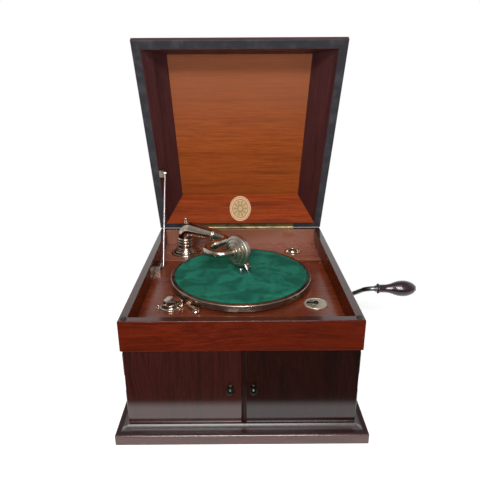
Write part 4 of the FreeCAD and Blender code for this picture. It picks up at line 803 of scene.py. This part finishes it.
STAINED_PLINTH = Varnish(
    "stained_mahogany_plinth", (0.040, 0.014, 0.013), (0.020, 0.008, 0.008), (0.010, 0.004, 0.0035),
    (0.12, 0.055, 0.04), Grain.PLINTH, worn=0.0, coat=1.0, coat_rough=0.26, coat_index=2.8,
    specular=0.05, relief=0.0,
    thin=(Mark(Where.PLINTH_INSET, (9.0 * MM, 13.0 * MM), 0.06,
               Mark(Where.DEPTH, (-249.0 * MM, -243.0 * MM), 1.0, 0.3)),))
DECK_WOOD = Varnish(
    "deck_mahogany", (0.235, 0.048, 0.017), (0.125, 0.022, 0.008), (0.060, 0.012, 0.006),
    (0.42, 0.20, 0.13), worn=0.3, bands=0.5, coat=0.55, coat_rough=0.22, specular=0.2,
    stains_and_painted_light=(Mark(Where.FROM_SEAM, (1.0 * MM, 2.4 * MM), 0.75, 0.0, (0.42, 0.20, 0.13)),))
# Painted reflection: the rear deck's tones are paler and pinker than the motor board's and stand in
# for the lit lid mirrored in its varnish.
REAR_WOOD_PAINTED_SHEEN = Varnish(
    "rear_deck_mahogany_painted_sheen", (0.40, 0.130, 0.078), (0.25, 0.075, 0.044), (0.13, 0.035, 0.022),
    (0.46, 0.22, 0.15), worn=0.3, bands=0.4, coat=0.6, coat_rough=0.25, specular=0.2,
    stains_and_painted_light=(Mark(Where.FROM_SEAM, (1.0 * MM, 2.4 * MM), 0.75, 0.0, (0.46, 0.22, 0.15)),))
LID_WOOD = Varnish(
    "lid_mahogany", (0.350, 0.080, 0.0165), (0.220, 0.045, 0.0080), (0.140, 0.025, 0.005),
    (0.36, 0.15, 0.06), Grain.LID, fineness=1.1, wander=0.45, worn=0.15, bands=0.4,
    gloss=(0.45, 0.6), coat=0.1, coat_rough=0.35, specular=0.1,
    stains_and_painted_light=(Mark(Where.SHUT_DEPTH, (-150.0 * MM, 60.0 * MM), 0.6, 0.0, (0.28, 0.100, 0.050)),))
LID_WALLS = LidVarnish(
    "lid_walls", (0.090, 0.028, 0.028), (0.054, 0.018, 0.019), (0.024, 0.009, 0.010),
    (0.050, 0.047, 0.052), wander=0.5, worn=0.3, gloss=(0.4, 0.55), coat=0.12, coat_rough=0.3,
    specular=0.05, seam=0.8, age_size=0.8, wear_radius=1.6 * MM)
DEAL = Varnish(
    "plain_deal", (0.34, 0.20, 0.10), (0.23, 0.12, 0.055), (0.15, 0.07, 0.03), (0.42, 0.28, 0.16),
    fineness=0.7, worn=0.3, gloss=(0.5, 0.7), coat=0.1, coat_rough=0.4)
HORN_WOOD = Varnish(
    "horn_deal", (0.26, 0.12, 0.05), (0.16, 0.065, 0.028), (0.09, 0.035, 0.016), (0.36, 0.2, 0.1),
    Grain.ALONG_Y, fineness=0.7, gloss=(0.4, 0.55), coat=0.3)
GRIP_WOOD = Varnish(
    "turned_grip", (0.034, 0.013, 0.017), (0.018, 0.007, 0.009), (0.009, 0.004, 0.005),
    (0.08, 0.04, 0.045), fineness=1.6, worn=0.1, gloss=(0.15, 0.28), coat=1.0, coat_rough=0.06)
NICKEL = Metal(
    "nickel_plate", (0.53, 0.44, 0.36), (0.29, 0.22, 0.17), 0.7, gloss=(0.12, 0.21), relief=0.02)
SATIN_NICKEL = Metal(
    "soundbox_plate", (0.50, 0.45, 0.37), (0.26, 0.21, 0.16), 0.6, gloss=(0.34, 0.46), rubbed=0.9)
DULL_NICKEL = Metal(
    "turntable_plate", (0.36, 0.30, 0.245), (0.16, 0.115, 0.085), 0.8, gloss=(0.2, 0.34))
DARK_STEEL = Metal("crank_steel", (0.22, 0.22, 0.225), (0.09, 0.09, 0.092), 0.7, gloss=(0.24, 0.36))
STAY_STEEL = Metal(
    "stay_steel", (0.52, 0.48, 0.49), (0.36, 0.32, 0.33), 0.3, gloss=(0.34, 0.44), size=0.4,
    relief=0.0)
SILVERED = Metal(
    "silvered_plate", (0.62, 0.56, 0.44), (0.40, 0.33, 0.24), gloss=(0.35, 0.5), metallic=0.6)
BRASS = Metal("old_brass", (0.30, 0.235, 0.122), (0.155, 0.118, 0.062), 0.8, gloss=(0.36, 0.52))
BRONZE = Metal(
    "bronzed_knob", (0.036, 0.039, 0.032), (0.014, 0.016, 0.015), 0.8, gloss=(0.2, 0.34),
    rubbed=0.6, size=2.0)
STEEL = Metal("bright_steel", (0.56, 0.56, 0.57), (0.30, 0.28, 0.26), gloss=(0.25, 0.4))
IRON = Metal(
    "japanned_iron", (0.022, 0.021, 0.020), (0.045, 0.038, 0.032), 0.6, gloss=(0.35, 0.5),
    relief=0.2, metallic=0.0)
RUBBER = Rubber("buffer_rubber")
INK = Rubber("dial_ink", fresh=(0.012, 0.011, 0.011), grey=(0.03, 0.028, 0.026))
MICA = Mica("mica_sheet")
ROSETTE = Rosette(
    "oval_rosette", ground=(0.44, 0.30, 0.12), border=(0.62, 0.37, 0.19), line=(0.15, 0.085, 0.03),
    centre=(0.0, 211.0 * MM, 279.5 * MM), half_width=28.0 * MM, half_height=35.0 * MM)


@dataclass
class SubAssembly:
    """Nodes of the frame that belong together, by finish, and the pieces added to them."""

    title: str
    finishes: dict[Finish, str]

    def build(self) -> Iterable[Piece]:
        """Make the added pieces and return them."""
        return []

    def raise_up(self) -> None:
        """Give each node its finish, then make and report the added pieces."""
        for finish, nodes in self.finishes.items():
            finish.give(*(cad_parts[node] for node in nodes.split()))
            LOG.info("%s: %s in %s", self.title, nodes, finish.name)
        for piece in self.build():
            LOG.info("%s: added %s", self.title, piece.name)


def riding(name: str, mesh: bpy.types.Mesh, finish: Finish, body: str) -> Piece:
    """Make a finished piece that rides on a body.

    Args:
        name: Name of the piece.
        mesh: Its mesh, in metres in the shared frame.
        finish: Its finish.
        body: The body that it moves with.

    Returns:
        The piece.
    """
    piece = bpy.data.objects.new(name, mesh)
    bpy.context.scene.collection.objects.link(piece)
    finish.give(piece)
    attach(piece, body)
    return piece


def meshed(name: str, shape: Shape, smooth: bool = True) -> bpy.types.Mesh:
    """Turn an edited mesh, which is freed, into one for a piece.

    Args:
        name: Name of the mesh.
        shape: The edited mesh.
        smooth: Whether its faces are shaded smooth.

    Returns:
        The mesh.
    """
    bmesh.ops.recalc_face_normals(shape, faces=shape.faces)
    mesh = bpy.data.meshes.new(name)
    shape.to_mesh(mesh)
    shape.free()
    for face in mesh.polygons:
        face.use_smooth = smooth
    return mesh


def close_up(shape: Shape, rows: list[list[bmesh.types.BMVert]]) -> None:
    """Join closed rows of vertices, each to the next and the last to the first.

    Args:
        shape: The edited mesh.
        rows: The rows, all of one length.
    """
    for first, second in zip(rows, rows[1:] + rows[:1]):
        for corners in zip(first, second, second[1:] + second[:1], first[1:] + first[:1]):
            shape.faces.new(corners)


def turns(count: int) -> list[float]:
    """Return the angles of even steps round a circle."""
    return [math.tau * step / count for step in range(count)]


@dataclass
class Turntable(SubAssembly):
    """Turntable with its felt: a pressed disc with an uneven nap, a soft edge and a cut hole."""

    hole_radius: float = 4.5 * MM
    edge_gap: float = 0.2 * MM
    top_gap: float = 0.1 * MM
    fray: float = 0.5 * MM
    fray_scale: float = 9.0
    nap_waves: tuple[Span, ...] = ((45.0, 0.5), (140.0, 0.3))
    nap_height: float = 0.16 * MM
    nap_sink: float = 0.14 * MM
    soft_width: float = 1.5 * MM
    soft_drop: float = 0.8 * MM
    rings: int = 56
    steps: int = 168

    def spot(self, turn: float, share: float, reach: float,
             centre: Vector) -> tuple[Vector, float]:
        """Find a point on top of the felt.

        Args:
            turn: Its bearing.
            share: Its way out from the hole, 0, to the edge, 1.
            reach: The felt's radius.
            centre: The felt's middle.

        Returns:
            The point in plan, and how far it lies under the felt's crest.
        """
        way = Vector((math.cos(turn), math.sin(turn), 0.0))
        frayed = reach - abs(noise.noise(way * self.fray_scale)) * self.fray
        radius = self.hole_radius + (frayed - self.hole_radius) * share
        spot = way * radius + centre
        nap = sum(noise.noise(spot * scale) * weight for scale, weight in self.nap_waves)
        soft = max(0.0, (radius - frayed + self.soft_width) / self.soft_width)
        sunk = self.nap_sink - nap * self.nap_height + soft * soft * self.soft_drop
        return spot, max(0.0, sunk)

    def build(self) -> Iterable[Piece]:
        """Make the felt."""
        low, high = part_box("felt_mat")
        centre = Vector(((low.x + high.x) / 2, (low.y + high.y) / 2, 0.0))
        reach = (high.x - low.x) / 2 - self.edge_gap
        shape = bmesh.new()
        rows = []
        for ring in range(self.rings + 1):
            spots = (self.spot(turn, ring / self.rings, reach, centre)
                     for turn in turns(self.steps))
            rows.append([shape.verts.new((spot.x, spot.y, high.z - self.top_gap - sunk))
                         for spot, sunk in spots])
        foot, hole = ([shape.verts.new((vert.co.x, vert.co.y, low.z)) for vert in row]
                      for row in (rows[-1], rows[0]))
        close_up(shape, [hole, *rows, foot])
        finish = Felt("green_felt", light=(0.021, 0.195, 0.128), deep=(0.0075, 0.090, 0.057),
                      faded=(0.055, 0.22, 0.150), radius=reach, centre_y=centre.y)
        felt = riding("felt_cover", meshed("felt_cover", shape), finish, "turntable")
        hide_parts("felt_mat")
        return [felt]


@dataclass
class ToneArm(SubAssembly):
    """Tone arm, crook and soundbox, with a turned bead in each step of the soundbox's back."""

    facing: float = math.radians(44.5)
    box_middle: float = 17.7 * MM
    beads: tuple[tuple[float, float, float], ...] = (
        (13.6 * MM, 3.0 * MM, 1.6 * MM), (20.8 * MM, 6.7 * MM, 1.4 * MM),
        (28.0 * MM, 10.4 * MM, 1.2 * MM))
    steps: int = 96
    sides: int = 10

    def build(self) -> Iterable[Piece]:
        """Make the beads, each with its radius, its depth along the soundbox and its thickness."""
        low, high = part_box("soundbox_back")
        axis = Vector((math.cos(self.facing), math.sin(self.facing), 0.0))
        hub = (low + high) / 2 - axis * self.box_middle
        shape = bmesh.new()
        for radius, depth, thick in self.beads:
            rows = []
            for turn in turns(self.steps):
                out = axis.cross(UP) * math.cos(turn) + UP * math.sin(turn)
                rows.append([shape.verts.new(hub + out * (radius + thick * math.cos(bend))
                                             + axis * (depth + thick * math.sin(bend)))
                             for bend in turns(self.sides)])
            close_up(shape, rows)
        mesh = meshed("soundbox_beads", shape)
        return [riding("soundbox_beads", mesh, NICKEL, "crook")]


@dataclass
class DeckFittings(SubAssembly):
    """Needle cups, brake and speed dial, with the dial's strokes and plain numbers."""

    face_height: float = 1.7 * MM
    ink_height: float = 0.12 * MM
    ink_spread: float = 0.2 * MM
    numbers: tuple[tuple[str, float], ...] = (
        ("60", 120.0), ("70", 150.0), ("90", 210.0), ("100", 240.0))
    number_radius: float = 13.6 * MM
    number_size: float = 7.6 * MM
    strokes: int = 13
    stroke_start: float = 120.0
    stroke_step: float = 10.0
    long_every: int = 3
    long_stroke: tuple[float, float, float] = (17.4 * MM, 3.6 * MM, 1.6 * MM)
    short_stroke: tuple[float, float, float] = (18.2 * MM, 2.2 * MM, 0.8 * MM)

    def face(self) -> Vector:
        """Return the place of the ink's middle over the middle of the dial's face."""
        low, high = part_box("speed_dial")
        height = low.z + self.face_height + self.ink_height / 2
        return Vector(((low.x + high.x) / 2, (low.y + high.y) / 2, height))

    def build(self) -> Iterable[Piece]:
        """Make the strokes, each with its radius, length and width, and the numbers."""
        shape = bmesh.new()
        for index in range(self.strokes):
            long = index % self.long_every == 0
            radius, length, width = self.long_stroke if long else self.short_stroke
            turn = math.radians(self.stroke_start + index * self.stroke_step)
            place = Matrix.Translation(self.face()) @ Matrix.Rotation(turn, 4, "Z")
            place = place @ Matrix.Translation((radius, 0.0, 0.0))
            size = Matrix.Diagonal((length, width, self.ink_height, 1.0))
            bmesh.ops.create_cube(shape, size=1.0, matrix=place @ size)
        mesh = meshed("dial_strokes", shape, smooth=False)
        strokes = riding("dial_strokes", mesh, INK, "cabinet")
        return [strokes, *(self.number(text, angle) for text, angle in self.numbers)]

    def number(self, text: str, angle: float) -> Piece:
        """Make one number of the dial.

        Args:
            text: The number's figures.
            angle: Its bearing on the dial in degrees.

        Returns:
            The piece.
        """
        name = "dial_number_" + text
        curve = bpy.data.curves.new(name, "FONT")
        curve.body = text
        curve.size = self.number_size
        curve.align_x = "CENTER"
        curve.align_y = "CENTER"
        curve.extrude = self.ink_height / 2
        curve.offset = self.ink_spread
        writing = bpy.data.objects.new("dial_writing", curve)
        bpy.context.scene.collection.objects.link(writing)
        bpy.context.view_layer.update()
        shown = writing.evaluated_get(bpy.context.evaluated_depsgraph_get())
        mesh = bpy.data.meshes.new_from_object(shown)
        bpy.data.objects.remove(writing)
        bpy.data.curves.remove(curve)
        turn = math.radians(angle)
        way = Vector((math.cos(turn), math.sin(turn), 0.0))
        mesh.transform(Matrix.Translation(self.face() + way * self.number_radius))
        return riding(name, mesh, INK, "cabinet")


ASSEMBLIES = (
    SubAssembly("casing", {
        STAINED_X: "base_board", STAINED_PLINTH: "plinth_mouldings", STAINED_Y: "side_panels",
        STAINED_BACK: "back_panel", MAHOGANY: "rim_rails", DEAL: "deck_battens",
        RUBBER: "lid_buffers", NICKEL: "deck_screws", REAR_WOOD_PAINTED_SHEEN: "rear_deck",
        DECK_WOOD: "motor_board"}),
    SubAssembly("lid", {
        LID_WALLS: "lid_walls", LID_WOOD: "lid_panel", ROSETTE: "lid_badge", STAY_STEEL: "stay_rod",
        BRASS: "lid_hinge_fixed_leaf lid_hinge_moving_leaf hinge_pins",
        DULL_NICKEL: "stay_bracket stay_catch"}),
    SubAssembly("doors", {
        STAINED_DEEP: "right_door", STAINED: "left_door",
        BRONZE: "right_door_knob left_door_knob right_door_hinges left_door_hinges "
                "door_hinge_jambs"}),
    Turntable("turntable", {DULL_NICKEL: "turntable", STEEL: "spindle"}),
    ToneArm("tone arm", {
        NICKEL: "tonearm_base tonearm_post tonearm_tube crook soundbox_ring", MICA: "diaphragm",
        SATIN_NICKEL: "soundbox_back", DULL_NICKEL: "needle_bar needle_screw",
        DARK_STEEL: "needle"}),
    DeckFittings("deck fittings", {
        NICKEL: "needle_cup needle_bowl needle_bowl_lid brake_plate brake_lever",
        SILVERED: "speed_dial", BRONZE: "speed_pointer"}),
    SubAssembly("winding crank", {
        NICKEL: "crank_escutcheon", DARK_STEEL: "crank_rod", GRIP_WOOD: "crank_grip"}),
    SubAssembly("works", {
        HORN_WOOD: "horn", IRON: "horn_throat motor_base_plate motor_top_plate",
        STEEL: "spring_barrel mainspring barrel_arbor winding_shaft regulator_lever",
        BRASS: "intermediate_gears governor"}),
)


@dataclass(frozen=True)
class Softbox:
    """A soft lamp."""

    name: str
    place: tuple[float, float, float]
    aim: tuple[float, float, float]
    width: float
    height: float
    watts: float

    def hang(self) -> None:
        """Hang the lamp and turn it to its aim."""
        lamp = bpy.data.lights.new(self.name, "AREA")
        lamp.shape = "RECTANGLE"
        lamp.size = self.width
        lamp.size_y = self.height
        lamp.energy = self.watts
        piece = bpy.data.objects.new(self.name, lamp)
        piece.location = self.place
        look = Vector(self.aim) - Vector(self.place)
        piece.rotation_euler = look.to_track_quat("-Z", "Y").to_euler()
        bpy.context.scene.collection.objects.link(piece)


@dataclass(frozen=True)
class Studio:
    """Camera, lamps, white surroundings and the pale floor."""

    eye: tuple[float, float, float] = (-2.7 * MM, -956.3 * MM, 642.3 * MM)
    pitch: float = 19.865
    yaw: float = -0.069
    roll: float = -0.319
    lens: float = 35.76
    sensor: float = 36.0
    clip: Span = (0.01, 50.0)
    ambient: float = 0.18
    front_glow: float = 0.2
    back_glow: float = 0.8
    back_turn: Span = (-0.55, 0.25)
    ceiling_glow: float = 0.25
    ceiling_turn: Span = (0.6, 0.9)
    floor_reach: float = 4.0
    floor_drop: float = 0.4 * MM
    floor_turn: Span = (0.42, 0.75)
    paper: Colour = (0.84, 0.84, 0.84)
    paper_lift: float = 0.55
    table_turn: Span = (-0.35, -0.32)
    room_glow: float = 0.04
    lamps: tuple[Softbox, ...] = (
        Softbox("high_softbox", (-0.1, -2.6, 1.9), (0.0, 0.0, 0.3), 1.4, 0.4, 70.0),
        Softbox("low_softbox", (0.15, -2.7, 0.95), (0.0, 0.1, 0.4), 1.2, 0.5, 24.0),
        Softbox("top_softbox", (-0.15, -1.34, 2.2), (0.0, -0.2, 0.1), 1.3, 1.0, 9.0),
    )

    def camera(self) -> None:
        """Set up the camera at the photograph's place."""
        optics = bpy.data.cameras.new("camera")
        optics.lens = self.lens
        optics.sensor_width = self.sensor
        optics.sensor_fit = "HORIZONTAL"
        optics.clip_start, optics.clip_end = self.clip
        camera = bpy.data.objects.new("camera", optics)
        turn = (Matrix.Rotation(math.radians(self.yaw), 4, "Z")
                @ Matrix.Rotation(math.radians(90.0 - self.pitch), 4, "X")
                @ Matrix.Rotation(math.radians(self.roll), 4, "Z"))
        camera.matrix_world = Matrix.Translation(self.eye) @ turn
        bpy.context.scene.collection.objects.link(camera)
        bpy.context.scene.camera = camera

    def shown(self, bench: Bench) -> tuple[Socket, Socket]:
        """Return the mask of rays from the camera, and that of mirror and glass rays."""
        path = bench.put("ShaderNodeLightPath").outputs
        mirrored = bench.maths("MAXIMUM", path["Is Glossy Ray"], path["Is Transmission Ray"])
        return path["Is Camera Ray"], mirrored

    def emission(self, bench: Bench, strength: Any) -> Socket:
        """Return a white light."""
        return bench.put("ShaderNodeEmission", {"Color": WHITE, "Strength": strength}).outputs[0]

    def world(self) -> None:
        """Surround the scene with white; mirrors show it dimmer in front and above."""
        world = bpy.data.worlds.new("studio")
        bpy.context.scene.world = world
        world.use_nodes = True
        world.node_tree.nodes.clear()
        bench = Bench(world.node_tree)
        seen, mirrored = self.shown(bench)
        _, y, z = bench.parts(bench.put("ShaderNodeTexCoord").outputs["Generated"])
        glow = bench.span(y, *self.back_turn, self.front_glow, self.back_glow)
        glow = bench.span(z, *self.ceiling_turn, glow, self.ceiling_glow)
        strength = bench.span(mirrored, 0.0, 1.0, self.ambient, glow)
        strength = bench.span(seen, 0.0, 1.0, strength, 1.0)
        ground = bench.put("ShaderNodeBackground", {"Color": WHITE, "Strength": strength})
        bench.put("ShaderNodeOutputWorld", {"Surface": ground.outputs[0]})

    def floor(self) -> None:
        """Lay the floor: white to the camera where it is lit, with the object's shadow on it.

        Mirrors show it white up to the table's front edge and dark in front of that.
        """
        shape = bmesh.new()
        bmesh.ops.create_grid(shape, x_segments=8, y_segments=8, size=self.floor_reach,
                              matrix=Matrix.Translation(UP * -self.floor_drop))
        mesh = bpy.data.meshes.new("floor")
        shape.to_mesh(mesh)
        shape.free()
        floor = bpy.data.objects.new("floor", mesh)
        bpy.context.scene.collection.objects.link(floor)
        paper = bpy.data.materials.new("floor_paper")
        mesh.materials.append(paper)
        paper.use_nodes = True
        paper.node_tree.nodes.clear()
        bench = Bench(paper.node_tree)
        seen, mirrored = self.shown(bench)
        at = bench.place()
        lit = bench.put("ShaderNodeBsdfDiffuse", {"Color": self.paper}).outputs[0]
        lift = self.emission(bench, self.paper_lift)
        near = bench.put("ShaderNodeAddShader", {0: lit, 1: lift}).outputs[0]
        away = bench.span(bench.vectors("LENGTH", at), *self.floor_turn)
        plain_white = bench.mixed(away, near, self.emission(bench, 1.0))
        edge = bench.span(bench.parts(at)[1], *self.table_turn, self.room_glow, 1.0)
        shader = bench.mixed(mirrored, lit, self.emission(bench, edge))
        shader = bench.mixed(seen, shader, plain_white)
        bench.put("ShaderNodeOutputMaterial", {"Surface": shader})

    def set_up(self) -> None:
        """Build the whole studio."""
        bpy.context.scene.view_settings.view_transform = "Standard"
        self.camera()
        self.world()
        self.floor()
        for lamp in self.lamps:
            lamp.hang()


def main() -> None:
    """Build every sub-assembly and the studio."""
    logging.basicConfig(level=logging.INFO, format="%(message)s")
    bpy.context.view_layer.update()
    for assembly in ASSEMBLIES:
        assembly.raise_up()
    Studio().set_up()


if __name__ == "__main__":
    main()
